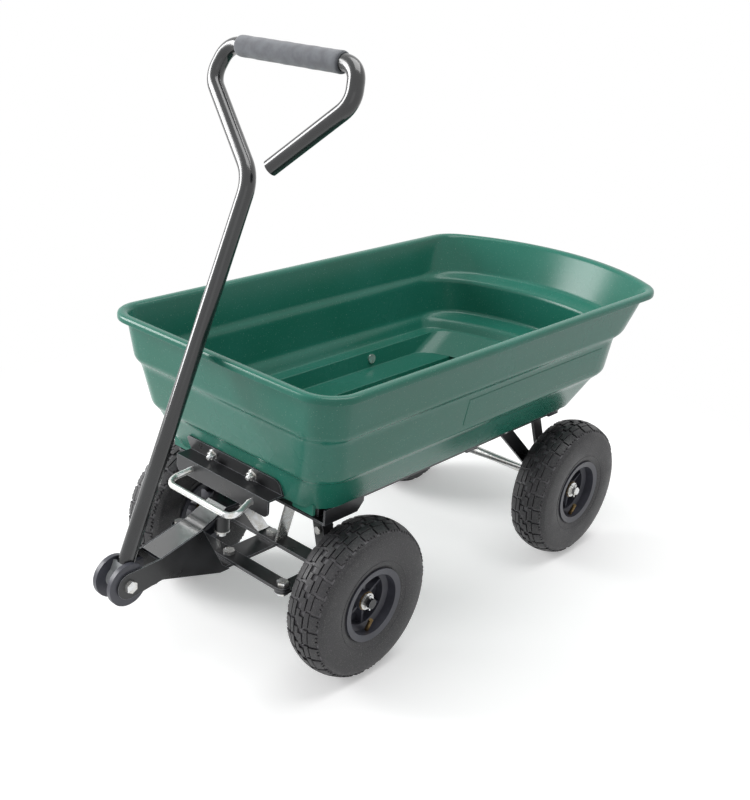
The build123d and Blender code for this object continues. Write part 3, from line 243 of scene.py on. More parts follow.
def make_brass():
    """Sintered bronze bushes and brass valve: warm metal, dulled by handling."""
    material, tree, surface, place = start_material("dull_brass", {"Metallic": 1.0})
    cloud = patches(tree, place, 6)
    tree.links.new(two_tone(tree, cloud, "8f7a55", "6d5a3c"), surface.inputs["Base Color"])
    tree.links.new(between(tree, cloud, 0.36, 0.5), surface.inputs["Roughness"])
    return material


MATERIALS = {
    "tray_plastic": make_moulded_polyethylene(),
    "frame_steel": make_powder_coat("black_powder_coat", 0.3, 1.5),
    "gloss_steel": make_gloss_enamel(),
    "zinc_steel": make_zinc_plate(),
    "black_plastic": make_moulded_polypropylene("black_polypropylene", "3a3b43", "474850", 0.34),
    "grey_plastic": make_moulded_polypropylene("grey_polypropylene", "8b8e90", "9a9d9f", 0.45),
    "grip_foam": make_grip_foam(),
    "tyre_rubber": make_rubber("vulcanised_rubber", "1e1e21", "353437", 0.35),
    "brass_fitting": make_brass(),
}
GROOVE_RUBBER = make_rubber("dusty_groove_rubber", "4c4b4f", "68666a", 0.5)
MIRRORING_COAT = make_powder_coat("glossy_black_coat", 1.0, 2.1)


# ---------------------------------------------------------------- building pieces
def new_piece(name, points, faces, slot, body, place=(0, 0, 0)):
    """A smooth-shaded mesh in its material, riding on a CAD body."""
    mesh = bpy.data.meshes.new(name)
    mesh.from_pydata([tuple(p) for p in points], [], [tuple(f) for f in faces])
    mesh.materials.append(MATERIALS[slot])
    return place_piece(name, mesh, body, place)


def place_piece(name, mesh, body, place):
    """An object for a mesh, set in place and riding on a CAD body."""
    mesh.polygons.foreach_set("use_smooth", [True] * len(mesh.polygons))
    mesh.update()
    piece = bpy.data.objects.new(name, mesh)
    bpy.context.scene.collection.objects.link(piece)
    piece.location = place
    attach(piece, body)
    return piece


def sharpen(piece, degrees=35):
    """Keeps edges crisp where the surface turns more than this."""
    piece.data.set_sharp_from_angle(angle=math.radians(degrees))


def ease_edges(piece, width, degrees=28, segments=2):
    """Rounds the edges of a piece a little, as a die or a deburring wheel leaves them."""
    bevel = piece.modifiers.new("eased_edges", "BEVEL")
    bevel.width = width * MM
    bevel.segments = segments
    bevel.limit_method = "ANGLE"
    bevel.angle_limit = math.radians(degrees)
    bevel.harden_normals = True
    bevel.use_clamp_overlap = True


def loop_faces(ring_count, points_per_ring, closed=False):
    """Quads that join rings of points, each ring joined to the next."""
    faces = []
    for ring in range(ring_count if closed else ring_count - 1):
        here = ring * points_per_ring
        above = (ring + 1) % ring_count * points_per_ring
        for step in range(points_per_ring):
            after = (step + 1) % points_per_ring
            faces.append((here + step, here + after, above + after, above + step))
    return faces


def capped_faces(ring_count, points_per_ring):
    """Quads between rings of points, with the first and the last ring closed by a face."""
    last = (ring_count - 1) * points_per_ring
    return loop_faces(ring_count, points_per_ring) + [
        tuple(range(points_per_ring))[::-1], tuple(range(last, last + points_per_ring))]


# ---------------------------------------------------------------- tray
TRAY_WALL = 4.0
LIP_DEPTH = 11.0
REAR_ARC = 385.0
FRONT_CORNER = 48.0
# outer wall stations from the bottom up: height, half width in from the rim's, front in from
# the rim's, back in from the rim's, rear corner radius
OUTER_WALL = (
    (290, 78, 71, 167, 50),
    (348, 50, 49, 127, 50),
    (356, 43, 42, 81, 95),
    (425, 31, 29, 78, 95),
    (433, 24, 22, 40, 130),
    (505, 13.6, 13.5, 14.4, 63.7),
)
LIP_FLAT = 4.0
LIP_INNER = 17.0
LIP_CORNER = 61.0
LIP_REAR_CORNER = 73.0
PAN_HALF = 107.0
PAN_BACK = 172.0
PAN_SETBACK = 5.0
PAN_UNDER_BACK = 168.5
PAN_UNDER_CORNER = 8.0
STRIP_STEP = 9.0
SHELF_STEP = 32.0
STRIP_EDGE = 163.0
STRIP_BACK = 213.0
SHELF_EDGE = 168.0
SHELF_BACK = 146.0
# rings on the underside and inside stand this far apart where they would meet in front
RING_GAP = 0.3
ROUND_POINTS = 4
# how many points each stretch of a tray outline has, along one half from front to back
FRONT_POINTS = 8
CORNER_POINTS = 13
SIDE_POINTS = 26
REAR_CORNER_POINTS = 15
REAR_POINTS = 17
# a rounding takes up at most this share of the shorter side beside it
ROUNDING_LIMIT = 0.48


def tray_outline(height, half, front, back, corner, rear_corner, end_height=None):
    """One outline of the tray seen from above: straight front and sides, and a rear end on one
    wide arc. Its ends may lie at another height than its sides."""
    end_height = height if end_height is None else end_height
    arc_x = back + REAR_ARC
    rear_y = half - rear_corner
    rear_x = arc_x - math.sqrt((REAR_ARC - rear_corner) ** 2 - rear_y ** 2)
    turn = math.atan2(rear_y, rear_x - arc_x)
    front_x = front - corner
    front_y = half - corner
    right = [(front, y, end_height)
             for y in np.linspace(0, front_y, FRONT_POINTS, endpoint=False)]
    for share in np.linspace(0, 1, CORNER_POINTS):
        angle = share * math.pi / 2
        right.append((front_x + corner * math.cos(angle), front_y + corner * math.sin(angle),
                      end_height + (height - end_height) * share))
    right += [(x, half, height) for x in np.linspace(front_x, rear_x, SIDE_POINTS)[1:-1]]
    for share in np.linspace(0, 1, REAR_CORNER_POINTS):
        angle = math.pi / 2 + share * (turn - math.pi / 2)
        right.append((rear_x + rear_corner * math.cos(angle),
                      rear_y + rear_corner * math.sin(angle),
                      height + (end_height - height) * share))
    for angle in np.linspace(turn, math.pi, REAR_POINTS)[1:]:
        right.append((arc_x + REAR_ARC * math.cos(angle), REAR_ARC * math.sin(angle), end_height))
    left = [(x, -y, z) for x, y, z in right[-2:0:-1]]
    return np.array(right + left) * MM


def rounded_rings(rings, radii):
    """The rings again, with each corner between them rounded by its radius in millimetres."""
    made = [rings[0]]
    for before, here, after, radius in zip(rings, rings[1:], rings[2:], radii[1:-1]):
        back, on = before - here, after - here
        back_length = np.linalg.norm(back, axis=1, keepdims=True) + 1e-9
        on_length = np.linalg.norm(on, axis=1, keepdims=True) + 1e-9
        start = here + back / back_length * np.minimum(radius * MM, ROUNDING_LIMIT * back_length)
        end = here + on / on_length * np.minimum(radius * MM, ROUNDING_LIMIT * on_length)
        for t in np.linspace(0, 1, ROUND_POINTS):
            made.append((1 - t) ** 2 * start + 2 * t * (1 - t) * here + t ** 2 * end)
    made.append(rings[-1])
    return made


def tray_rings():
    """Outlines along the tray's skin: from under the floor, out, up the walls, over the lip,
    down the inside and across the floor, each with the radius that rounds it."""
    low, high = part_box("tray")
    rim_half = high.y / MM
    rim_front = high.x / MM
    rim_back = low.x / MM
    rim_top = high.z / MM
    wall = [(z, rim_half - half, rim_front - front, rim_back + back, FRONT_CORNER, rear)
            for z, half, front, back, rear in OUTER_WALL]

    def inside(station, lift=TRAY_WALL, inset=TRAY_WALL):
        z, half, front, back, corner, rear = station
        return (z + lift, half - inset, front - inset, back + inset, corner - inset, rear - inset)

    def along(first, second, z):
        share = (z - first[0]) / (second[0] - first[0])
        return tuple(a + (b - a) * share for a, b in zip(first, second))

    def lip(z, inset):
        return (z, rim_half - inset, rim_front - inset, rim_back + inset,
                LIP_CORNER - inset, LIP_REAR_CORNER - inset)

    bottom = wall[0]
    skirt = inside(bottom, 0)
    floor_front = bottom[2] - PAN_SETBACK
    under_back = rim_back + PAN_UNDER_BACK
    pan_under = (bottom[0] - TRAY_WALL, PAN_HALF + TRAY_WALL, floor_front, under_back,
                 PAN_UNDER_CORNER, PAN_UNDER_CORNER)
    strip_under = bottom[0] + STRIP_STEP
    strip_floor = strip_under + TRAY_WALL
    shelf = strip_floor + SHELF_STEP
    lip_under = rim_top - LIP_DEPTH
    shelf_under = shelf - TRAY_WALL
    upper_inside = inside(wall[1])
    shelf_wall = along(skirt, upper_inside, shelf)
    shelf_front = shelf_wall[2]
    floor_wall = along(skirt, upper_inside, strip_floor)
    stations = [
        (pan_under, 2),
        ((strip_under, *pan_under[1:]), 1.5),
        ((strip_under, SHELF_EDGE - 1, floor_front + RING_GAP, under_back - 0.5, 30, 42), 1.5),
        ((shelf_under, SHELF_EDGE + TRAY_WALL, floor_front + 2 * RING_GAP, under_back - 1, 32, 44,
          strip_under), 2),
        ((shelf_under, shelf_wall[1] - 0.5, floor_front + 3 * RING_GAP, under_back - 1.3, 42, 45,
          strip_under), 2),
        (skirt, 1),
        (bottom, 1.5),
        (wall[1], 9),
        (wall[2], 7),
        (wall[3], 9),
        (wall[4], 7),
        (wall[5], 2),
        (lip(wall[5][0], LIP_FLAT), 2),
        (lip(lip_under, LIP_FLAT), 0.8),
        (lip(lip_under, 0), 1.2),
        (lip(rim_top, 0), 6),
        (lip(rim_top, LIP_INNER), 7),
        (inside(wall[4]), 7),
        (inside(wall[3]), 9),
        (inside(wall[2]), 7),
        (upper_inside, 9),
        (shelf_wall, 3),
        ((shelf, SHELF_EDGE, shelf_front - 1.5, rim_back + SHELF_BACK, 31, 46), 2.5),
        ((strip_floor, STRIP_EDGE, floor_wall[2] - 1.5, rim_back + STRIP_BACK, 30, 46), 3),
        ((strip_floor, PAN_HALF, floor_front, rim_back + PAN_BACK + 14, 6, 6), 2),
        ((bottom[0], PAN_HALF - 0.6, floor_front - 0.6, rim_back + PAN_BACK, 5, 5), 2),
    ]
    rings = [tray_outline(*station) for station, _ in stations]
    radii = [radius for _, radius in stations]
    return rounded_rings(rings, radii)


def make_tray():
    """The tray: one skin from below the floor, over the rolled lip and back to the floor."""
    rings = tray_rings()
    points = [p for ring in rings for p in ring]
    faces = capped_faces(len(rings), len(rings[0]))
    piece = new_piece("tray_shell", points, faces, "tray_plastic", "tray")
    sharpen(piece, 50)
    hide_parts("tray")


make_tray()

PANEL_INSET = 22.0
PANEL_CORNER = 11.0
PANEL_RISE = 1.0
PANEL_EASE = 0.5
CORNER_STEPS = 8


def make_load_panel():
    """The shallow raised panel on the tray's floor that carries the load."""
    low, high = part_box("tray")
    floor, _, front_in, _, _ = OUTER_WALL[0]
    middle_inset = PANEL_INSET + PANEL_CORNER
    front = high.x / MM - front_in - TRAY_WALL - middle_inset
    back = low.x / MM + PAN_BACK + middle_inset
    half = PAN_HALF - middle_inset
    middles = ((front, half, 0), (back, half, 90), (back, -half, 180), (front, -half, 270))
    levels = ((floor - PANEL_RISE, PANEL_CORNER), (floor + PANEL_RISE - PANEL_EASE, PANEL_CORNER),
              (floor + PANEL_RISE, PANEL_CORNER - PANEL_EASE))
    points = [((x + radius * math.cos(angle)) * MM, (y + radius * math.sin(angle)) * MM, z * MM)
              for z, radius in levels for x, y, start in middles
              for angle in np.radians(np.linspace(start, start + 90, CORNER_STEPS))]
    faces = capped_faces(len(levels), len(points) // len(levels))
    panel = new_piece("load_panel", points, faces, "tray_plastic", "tray")
    sharpen(panel, 30)


make_load_panel()

PAD_FRONT = 30.0
PAD_BACK = -360.0
PAD_LOW = 367.0
PAD_HIGH = 415.0
PAD_RISE = 0.8
PAD_SINK = 0.6
PAD_SLOPE = 1.0


def make_side_pads():
    """Slightly raised panels on the middle tier of the tray's sides."""
    _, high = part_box("tray")
    low_station, high_station = OUTER_WALL[2], OUTER_WALL[3]
    for side, hand in ((1, "left"), (-1, "right")):
        points = []
        for rise, inset in ((-PAD_SINK, 0.0), (PAD_RISE, PAD_SLOPE)):
            for x, z in ((PAD_FRONT - inset, PAD_LOW + inset), (PAD_FRONT - inset, PAD_HIGH - inset),
                         (PAD_BACK + inset, PAD_HIGH - inset), (PAD_BACK + inset, PAD_LOW + inset)):
                share = (z - low_station[0]) / (high_station[0] - low_station[0])
                inward = low_station[1] + (high_station[1] - low_station[1]) * share
                points.append((x * MM, side * (high.y - (inward - rise) * MM), z * MM))
        faces = loop_faces(2, 4) + [(4, 5, 6, 7), (3, 2, 1, 0)]
        pad = new_piece(f"side_pad_{hand}", points, faces, "tray_plastic", "tray")
        sharpen(pad, 20)
        ease_edges(pad, 0.5, 20)


make_side_pads()

SKIRT_INNER = 118.0
SKIRT_OUTER = 162.0
SKIRT_WALL = 6.0
SKIRT_SETBACK = 7.0
SKIRT_DROP = 9.0
SKIRT_HIDDEN = 10.0


def make_box_piece(name, low, high, slot, body, eased):
    """A small plate between two corners, with eased edges."""
    corners = [(x, y, z) for z in (low[2], high[2])
               for x, y in ((low[0], low[1]), (high[0], low[1]), (high[0], high[1]),
                            (low[0], high[1]))]
    piece = new_piece(name, corners, capped_faces(2, 4), slot, body)
    sharpen(piece, 30)
    ease_edges(piece, eased, 30, 3)
    return piece


def make_front_skirts():
    """Short plates that hang below the front wall at each side of the latch."""
    _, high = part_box("tray")
    front = high.x - (OUTER_WALL[0][2] + SKIRT_SETBACK) * MM
    bottom = OUTER_WALL[0][0] * MM
    for side, hand in ((1, "left"), (-1, "right")):
        edges = sorted((side * SKIRT_INNER * MM, side * SKIRT_OUTER * MM))
        make_box_piece(f"front_skirt_{hand}",
                       (front - SKIRT_WALL / 2 * MM, edges[0], bottom - SKIRT_DROP * MM),
                       (front + SKIRT_WALL / 2 * MM, edges[1], bottom + SKIRT_HIDDEN * MM),
                       "tray_plastic", "tray", 1.2)


make_front_skirts()


# ---------------------------------------------------------------- wheels
PITCHES = 28
CELLS = 12
TREAD_HALF = 31.0
GROOVE_DEPTH = 3.4
SHOULDER_DROP = 8.0
# across the tread, from the middle out: where each strip of cells ends, in millimetres
STRIPS = (3.5, 7.0, 9.2, 13.0, 17.0, 18.2, 22.5, 26.5, 29.5, 31.6)
# which of a pitch's cells stand up in each strip; a dot is groove
PATTERN = (
    "....########",
    "....########",
    "............",
    "##########..",
    "##########..",
    "............",
    ".##########.",
    ".##########.",
    ".##########.",
    ".##.##.##...",
)


def tyre_radius(y, crown):
    """Radius of the carcass below the blocks at a distance from the middle of the tread."""
    drop = SHOULDER_DROP * MM * (y / (TREAD_HALF * MM)) ** 2
    return crown - drop


def make_tyre_mesh(crown, half_width):
    """A tyre with raised blocks: an even grid of cells, each at block height or at groove
    height, between smooth sidewalls that end in beads at the rim."""
    edges = [0.0, *STRIPS]
    tread = [-e for e in edges[:0:-1]] + edges
    columns = PITCHES * CELLS
    angles = np.linspace(0, 2 * math.pi, columns, endpoint=False)
    points = []
    faces = []
    groove_faces = []
    index = {}

    def point(row, column, level):
        column %= columns
        key = (row, column, level)
        if key not in index:
            y = tread[row] * MM
            radius = tyre_radius(y, crown) - (0 if level else GROOVE_DEPTH * MM)
            index[key] = len(points)
            points.append((radius * math.sin(angles[column]), y, radius * math.cos(angles[column])))
        return index[key]

    rows = len(tread) - 1

    def raised(row, column):
        if not 0 <= row < rows:
            return False
        middle = (tread[row] + tread[row + 1]) / 2
        strip = next(i for i, e in enumerate(STRIPS) if abs(middle) < e)
        shift = 0 if middle > 0 else CELLS // 3
        return PATTERN[strip][(column + shift) % CELLS] == "#"

    for row in range(rows):
        for column in range(columns):
            up = raised(row, column)
            corners = [(row, column), (row + 1, column), (row + 1, column + 1), (row, column + 1)]
            faces.append([point(r, c, up) for r, c in corners])
            if not up:
                groove_faces.append(len(faces) - 1)
            walls = (((row, column + 1), corners[3], corners[2]),
                     ((row, column - 1), corners[1], corners[0]),
                     ((row + 1, column), corners[2], corners[1]),
                     ((row - 1, column), corners[0], corners[3]))
            for neighbour, a, b in walls:
                if up and not raised(*neighbour):
                    faces.append([point(*a, True), point(*b, True),
                                  point(*b, False), point(*a, False)])
    for hand in (1, -1):
        edge_row = rows if hand > 0 else 0
        previous = [point(edge_row, c, False) for c in range(columns)]
        for y, radius in sidewall(crown, half_width):
            ring = []
            for angle in angles:
                ring.append(len(points))
                points.append((radius * math.sin(angle), hand * y, radius * math.cos(angle)))
            for c in range(columns):
                after = (c + 1) % columns
                quad = [previous[c], ring[c], ring[after], previous[after]]
                faces.append(quad if hand > 0 else quad[::-1])
            previous = ring
        if hand > 0:
            first_bead = previous
    for c in range(columns):
        after = (c + 1) % columns
        faces.append([first_bead[c], previous[c], previous[after], first_bead[after]])
    mesh = bpy.data.meshes.new("block_tread_tyre")
    mesh.from_pydata(points, [], faces)
    mesh.materials.append(MATERIALS["tyre_rubber"])
    mesh.materials.append(GROOVE_RUBBER)
    for face in groove_faces:
        mesh.polygons[face].material_index = 1
    return mesh


BEAD_HALF = 31.0
BEAD_RADIUS = 54.0
RIM_LIP = 61.3
WALL_STEPS = 14


# how far the sidewall bulges past its ends, the form of the bulge, and the low ridge on it
BULGE_PAST = 2.0
BULGE_SPREAD = 1.06
BULGE_POWER = 1.3
RIDGE_POINT = -4
RIDGE_RISE = 0.7
RIDGE_FOOT = 0.1


def sidewall(crown, half_width):
    """Points of the sidewall from the edge of the tread to the bead: distance from the middle,
    and radius. A low ridge runs round above the bead."""
    top_y = STRIPS[-1] * MM
    top = tyre_radius(top_y, crown) - GROOVE_DEPTH * MM
    low = RIM_LIP * MM
    middle = (top + low) / 2 + BULGE_PAST * MM
    reach = (top - low) / 2 + BULGE_PAST * MM
    made = []
    for step in range(1, WALL_STEPS + 1):
        radius = top + (low - top) * step / WALL_STEPS
        bulge = math.sqrt(max(0, 1 - ((radius - middle) / (reach * BULGE_SPREAD)) ** 2))
        share = step / WALL_STEPS
        base = top_y + (BEAD_HALF * MM - top_y) * share
        y = base + (half_width - base) * bulge ** BULGE_POWER
        made.append((y, radius))
    ridge_y, ridge_radius = made[RIDGE_POINT]
    made[RIDGE_POINT:RIDGE_POINT + 1] = [
        (ridge_y + rise * MM, ridge_radius + place * MM)
        for rise, place in ((-RIDGE_FOOT, 1.0), (RIDGE_RISE, 0.5),
                            (RIDGE_RISE, -0.5), (-RIDGE_FOOT, -1.0))]
    made.append((BEAD_HALF * MM, BEAD_RADIUS * MM))
    return made


def wheel_centre(name):
    """Middle of a wheel, its outer radius and its half width, from the tyre's CAD box."""
    low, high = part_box(f"{name}_tyre")
    return (low + high) / 2, (high.z - low.z) / 2, (high.y - low.y) / 2


_, tyre_crown, tyre_half = wheel_centre("front_left")
tyre_mesh = make_tyre_mesh(tyre_crown, tyre_half)
for wheel in WHEELS:
    centre, _, _ = wheel_centre(wheel)
    tyre = place_piece(f"{wheel}_block_tyre", tyre_mesh, f"wheel_{wheel}", centre)
    sharpen(tyre, 40)
    ease_edges(tyre, 0.5, degrees=50, segments=1)
    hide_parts(f"{wheel}_tyre")


# ---------------------------------------------------------------- handle grip and springs
GRIP_BORE = 12.6
# the sleeve's rolled end: distance in from its face, and distance in from its full radius
GRIP_END = ((0.0, 2.4), (0.7, 1.2), (2.0, 0.5))
GRIP_SINK = 0.3
GRIP_SWELL = 0.25
GRIP_STEPS = 60
GRIP_AROUND = 40


def make_grip():
    """Foam sleeve on the handle's cross tube, a little slimmer at its rolled ends."""
    low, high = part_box("handle_grip")
    centre = (low + high) / 2
    half = (high.y - low.y) / 2
    radius = (high.x - low.x) / 2
    profile = [(-half, GRIP_BORE * MM)]
    profile += [(-half + along * MM, radius - inward * MM) for along, inward in GRIP_END]
    for share in np.linspace(0.02, 0.98, GRIP_STEPS):
        swell = GRIP_SWELL * MM * math.sin(share * 37) * math.sin(share * 11)
        profile.append((-half + 2 * half * share, radius - GRIP_SINK * MM + swell))
    profile += [(-y, r) for y, r in profile[len(GRIP_END)::-1]]
    points = []
    for y, r in profile:
        for angle in np.linspace(0, 2 * math.pi, GRIP_AROUND, endpoint=False):
            points.append((centre.x + r * math.cos(angle), centre.y + y,
                           centre.z + r * math.sin(angle)))
    piece = new_piece("foam_grip", points, loop_faces(len(profile), GRIP_AROUND, closed=True),
                      "grip_foam", "handle")
    sharpen(piece, 60)
    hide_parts("handle_grip")


make_grip()


SPRING_WIRE = 1.1
SPRING_COILS = 6
COIL_POINTS = 28
WIRE_POINTS = 8


def make_springs():
    """Coil springs round the bail's two stems, behind the bracket's lip."""
    low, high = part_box("latch_springs")
    wire = SPRING_WIRE * MM
    coil_radius = (high.z - low.z) / 2 - wire
    middle_z = (low.z + high.z) / 2
    for side, hand in ((1, "left"), (-1, "right")):
        middle_y = side * (high.y - (high.z - low.z) / 2)
        length = high.x - low.x - 2 * wire
        points = []
        turns = np.linspace(0, SPRING_COILS * 2 * math.pi, SPRING_COILS * COIL_POINTS)
        for turn in turns:
            x = low.x + wire + length * turn / turns[-1]
            outward = Vector((0, math.cos(turn), math.sin(turn)))
            forward = Vector((length / turns[-1], -coil_radius * math.sin(turn),
                              coil_radius * math.cos(turn))).normalized()
            side_way = forward.cross(outward)
            middle = Vector((x, middle_y, middle_z)) + outward * coil_radius
            for angle in np.linspace(0, 2 * math.pi, WIRE_POINTS, endpoint=False):
                points.append(middle + outward * wire * math.cos(angle)
                              + side_way * wire * math.sin(angle))
        faces = capped_faces(len(turns), WIRE_POINTS)
        piece = new_piece(f"coil_spring_{hand}", points, faces, "zinc_steel", "tray")
        if side == 1:
            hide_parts("latch_springs")


make_springs()

WASHER_RADIUS = 9.0
WASHER_THICKNESS = 1.6
NUT_ACROSS = 13.0
NUT_HEIGHT = 6.4
THREAD_RADIUS = 4.0
THREAD_LENGTH = 5.0
THREAD_PITCH = 1.25
ROUND = 36


def turned_rings(stations, count, point_at):
    """Rings of points for stations of height and radius, with a hexagon where a station says."""
    rings = []
    for height, radius, sides in stations:
        for step in range(count):
            angle = 2 * math.pi * step / count
            reach = radius
            if sides:
                sector = (angle + math.pi / sides) % (2 * math.pi / sides) - math.pi / sides
                reach = radius / math.cos(sector)
            rings.append(point_at(height, reach, angle))
    return rings


def make_nut_on_thread(name, seat_centre, axis, body):
    """A plain washer, a hexagon nut with turned corners, and the bolt's threaded end."""
    across = axis.orthogonal().normalized()
    beside = axis.cross(across)

    def point_at(height, reach, angle):
        return (seat_centre + axis * height * MM
                + (across * math.cos(angle) + beside * math.sin(angle)) * reach * MM)

    nut_top = WASHER_THICKNESS + NUT_HEIGHT
    half = NUT_ACROSS / 2
    stations = [(0, WASHER_RADIUS, 0), (WASHER_THICKNESS * 0.7, WASHER_RADIUS, 0),
                (WASHER_THICKNESS, WASHER_RADIUS - 0.5, 0), (WASHER_THICKNESS, half, 0),
                (WASHER_THICKNESS + 0.5, half, 6), (nut_top - 0.6, half, 6), (nut_top, half, 0),
                (nut_top, THREAD_RADIUS + 0.3, 0), (nut_top - 0.4, THREAD_RADIUS, 0)]
    for turn in range(int(THREAD_LENGTH / THREAD_PITCH)):
        base = nut_top + turn * THREAD_PITCH
        stations += [(base, THREAD_RADIUS - 0.6, 0), (base + THREAD_PITCH / 2, THREAD_RADIUS, 0)]
    stations.append((nut_top + THREAD_LENGTH, THREAD_RADIUS - 0.7, 0))
    points = turned_rings(stations, ROUND, point_at)
    faces = capped_faces(len(stations), ROUND)
    piece = new_piece(name, points, faces, "zinc_steel", body)
    sharpen(piece, 30)
    return piece


BRACKET_NUT_Y = 46.0
BRACKET_NUT_Z = 311.0
BRACKET_THICKNESS = 3.0


def make_bracket_nuts():
    """The two nuts that clamp the latch bracket to the tray's leaning front wall."""
    _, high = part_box("tray")
    low_station, high_station = OUTER_WALL[0], OUTER_WALL[1]
    rise = high_station[0] - low_station[0]
    setback = low_station[2] - high_station[2]
    share = (BRACKET_NUT_Z - low_station[0]) / rise
    lean = math.atan2(setback, rise)
    axis = Vector((math.cos(lean), 0, -math.sin(lean)))
    plate_x = high.x - (low_station[2] - setback * share - BRACKET_THICKNESS) * MM
    for side, hand in ((1, "left"), (-1, "right")):
        seat = Vector((plate_x, side * BRACKET_NUT_Y * MM, BRACKET_NUT_Z * MM))
        make_nut_on_thread(f"bracket_nut_{hand}", seat, axis, "tray")


make_bracket_nuts()

# ---------------------------------------------------------------- CAD pieces in their finishes
slot_of_node = {entry["node"]: entry["material_slot"] for entry in frame["record"]["subparts"]}
MIRRORING = ("tongue_strap",)
BRIGHT = ("king_braces",)
EASED = {"frame_steel": 0.5, "zinc_steel": 0.35, "black_plastic": 0.6, "grey_plastic": 0.6}
for name, node in nodes.items():
    if node.hide_render:
        continue
    slot = slot_of_node[name]
    node.data.materials.clear()
    finish = MATERIALS["zinc_steel"] if name in BRIGHT else MATERIALS[slot]
    node.data.materials.append(MIRRORING_COAT if name in MIRRORING else finish)
    if slot in EASED:
        ease_edges(node, EASED[slot])

# ---------------------------------------------------------------- camera, floor and light
IMAGE_WIDTH = 750
IMAGE_HEIGHT = 800
SENSOR = 36.0
CAMERA_PLACE = (1.38653, 1.18293, 1.08813)
CAMERA_YAW = -2.3992
CAMERA_PITCH = 0.3807
CAMERA_ROLL = 0.0626
FOCAL_PIXELS = 1134.48
AXIS_X = 337.68
AXIS_Y = 383.90


def make_camera():
    """Camera at the cart's front left, a little above the handle."""
    ahead = Vector((math.cos(CAMERA_YAW) * math.cos(CAMERA_PITCH),
                    math.sin(CAMERA_YAW) * math.cos(CAMERA_PITCH), -math.sin(CAMERA_PITCH)))
    level = ahead.cross(Vector((0, 0, 1))).normalized()
    upright = level.cross(ahead)
    right = level * math.cos(CAMERA_ROLL) + upright * math.sin(CAMERA_ROLL)
    up = upright * math.cos(CAMERA_ROLL) - level * math.sin(CAMERA_ROLL)
    lens = bpy.data.cameras.new("camera")
    lens.sensor_width = SENSOR
    lens.lens = FOCAL_PIXELS / IMAGE_HEIGHT * SENSOR
    lens.shift_x = (IMAGE_WIDTH / 2 - AXIS_X) / IMAGE_HEIGHT
    lens.shift_y = (AXIS_Y - IMAGE_HEIGHT / 2) / IMAGE_HEIGHT
    camera = bpy.data.objects.new("camera", lens)
    camera.matrix_world = Matrix((
        (right.x, up.x, -ahead.x, CAMERA_PLACE[0]),
        (right.y, up.y, -ahead.y, CAMERA_PLACE[1]),
        (right.z, up.z, -ahead.z, CAMERA_PLACE[2]),
        (0, 0, 0, 1)))
    bpy.context.scene.collection.objects.link(camera)
    bpy.context.scene.camera = camera


SKY_LEVEL = 0.42


def make_world():
    """An even grey sky that lights the cart, and plain white where it is seen or mirrored."""
    world = bpy.data.worlds.new("plain_studio")
    world.use_nodes = True
    tree = world.node_tree
    tree.nodes.clear()
    sky = add_node(tree, "ShaderNodeBackground", {"Color": shade("ffffff"), "Strength": SKY_LEVEL})
    plain = add_node(tree, "ShaderNodeBackground", {"Color": shade("ffffff"), "Strength": 1.0})
    both = add_node(tree, "ShaderNodeMixShader", {}, {
        0: seen_or_mirrored(tree), 1: sky.outputs[0], 2: plain.outputs[0]})
    add_node(tree, "ShaderNodeOutputWorld", {}, {"Surface": both.outputs[0]})
    bpy.context.scene.world = world


FLOOR_RADIUS = 6.0
# distances from the middle at which the floor starts to fade and is plain white, and the glow
# that lifts its shade
FADE_START = 0.6
FADE_END = 1.25
FLOOR_LIFT = 0.3


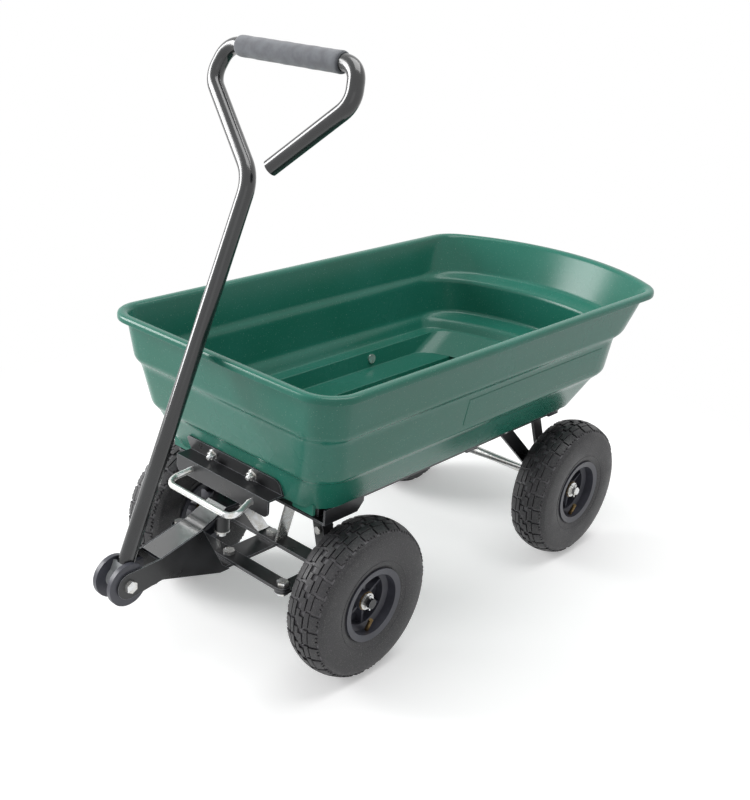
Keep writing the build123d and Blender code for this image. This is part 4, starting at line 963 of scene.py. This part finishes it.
def make_floor():
    """A pale floor that keeps the cart's shadow and fades to plain white away from it."""
    bpy.ops.mesh.primitive_circle_add(vertices=96, radius=FLOOR_RADIUS, fill_type="NGON")
    floor = bpy.context.object
    floor.name = "studio_floor"
    material = bpy.data.materials.new("pale_floor")
    material.use_nodes = True
    tree = material.node_tree
    tree.nodes.clear()
    place = add_node(tree, "ShaderNodeTexCoord").outputs["Object"]
    reach = add_node(tree, "ShaderNodeVectorMath", {"operation": "LENGTH"}, {0: place})
    fade = add_node(tree, "ShaderNodeMapRange", {
        "interpolation_type": "SMOOTHSTEP", "From Min": FADE_START, "From Max": FADE_END,
        "To Min": 0.0, "To Max": 1.0}, {"Value": reach.outputs["Value"]})
    seen = seen_or_mirrored(tree)
    share = add_node(tree, "ShaderNodeMath", {"operation": "MULTIPLY"},
                     {0: seen, 1: fade.outputs["Result"]})
    matt = add_node(tree, "ShaderNodeBsdfDiffuse", {"Color": shade("f4f4f4")})
    plain = add_node(tree, "ShaderNodeEmission", {"Color": shade("ffffff"), "Strength": 1.0})
    lift = add_node(tree, "ShaderNodeMath", {"operation": "MULTIPLY", 1: FLOOR_LIFT}, {0: seen})
    glow = add_node(tree, "ShaderNodeEmission", {"Color": shade("ffffff")},
                    {"Strength": lift.outputs[0]})
    lifted = add_node(tree, "ShaderNodeAddShader", {}, {0: matt.outputs[0], 1: glow.outputs[0]})
    both = add_node(tree, "ShaderNodeMixShader", {}, {
        0: share.outputs[0], 1: lifted.outputs[0], 2: plain.outputs[0]})
    add_node(tree, "ShaderNodeOutputMaterial", {}, {"Surface": both.outputs[0]})
    floor.data.materials.append(material)


# name, place, what it faces, width and height, and watts of each light
SOFTBOXES = (
    ("key_light", (2.1, -3.1, 1.9), (-0.2, 0, 0.4), (1.8, 2.6), 180),
    ("top_light", (-0.4, 0.3, 3.0), (0, 0, 0.3), (2.0, 2.0), 48),
    ("fill_light", (2.4, 2.4, 1.8), (0, 0, 0.3), (1.8, 1.8), 3),
)


def make_softbox(name, place, target, size, power):
    """A soft light panel, of a width and height, that faces the target."""
    lamp = bpy.data.lights.new(name, "AREA")
    lamp.shape = "RECTANGLE"
    lamp.size, lamp.size_y = size
    lamp.energy = power
    light = bpy.data.objects.new(name, lamp)
    light.location = place
    direction = Vector(target) - Vector(place)
    light.rotation_mode = "QUATERNION"
    light.rotation_quaternion = direction.to_track_quat("-Z", "Y")
    bpy.context.scene.collection.objects.link(light)


make_camera()
make_world()
make_floor()
for softbox in SOFTBOXES:
    make_softbox(*softbox)
bpy.context.scene.view_settings.view_transform = "Standard"
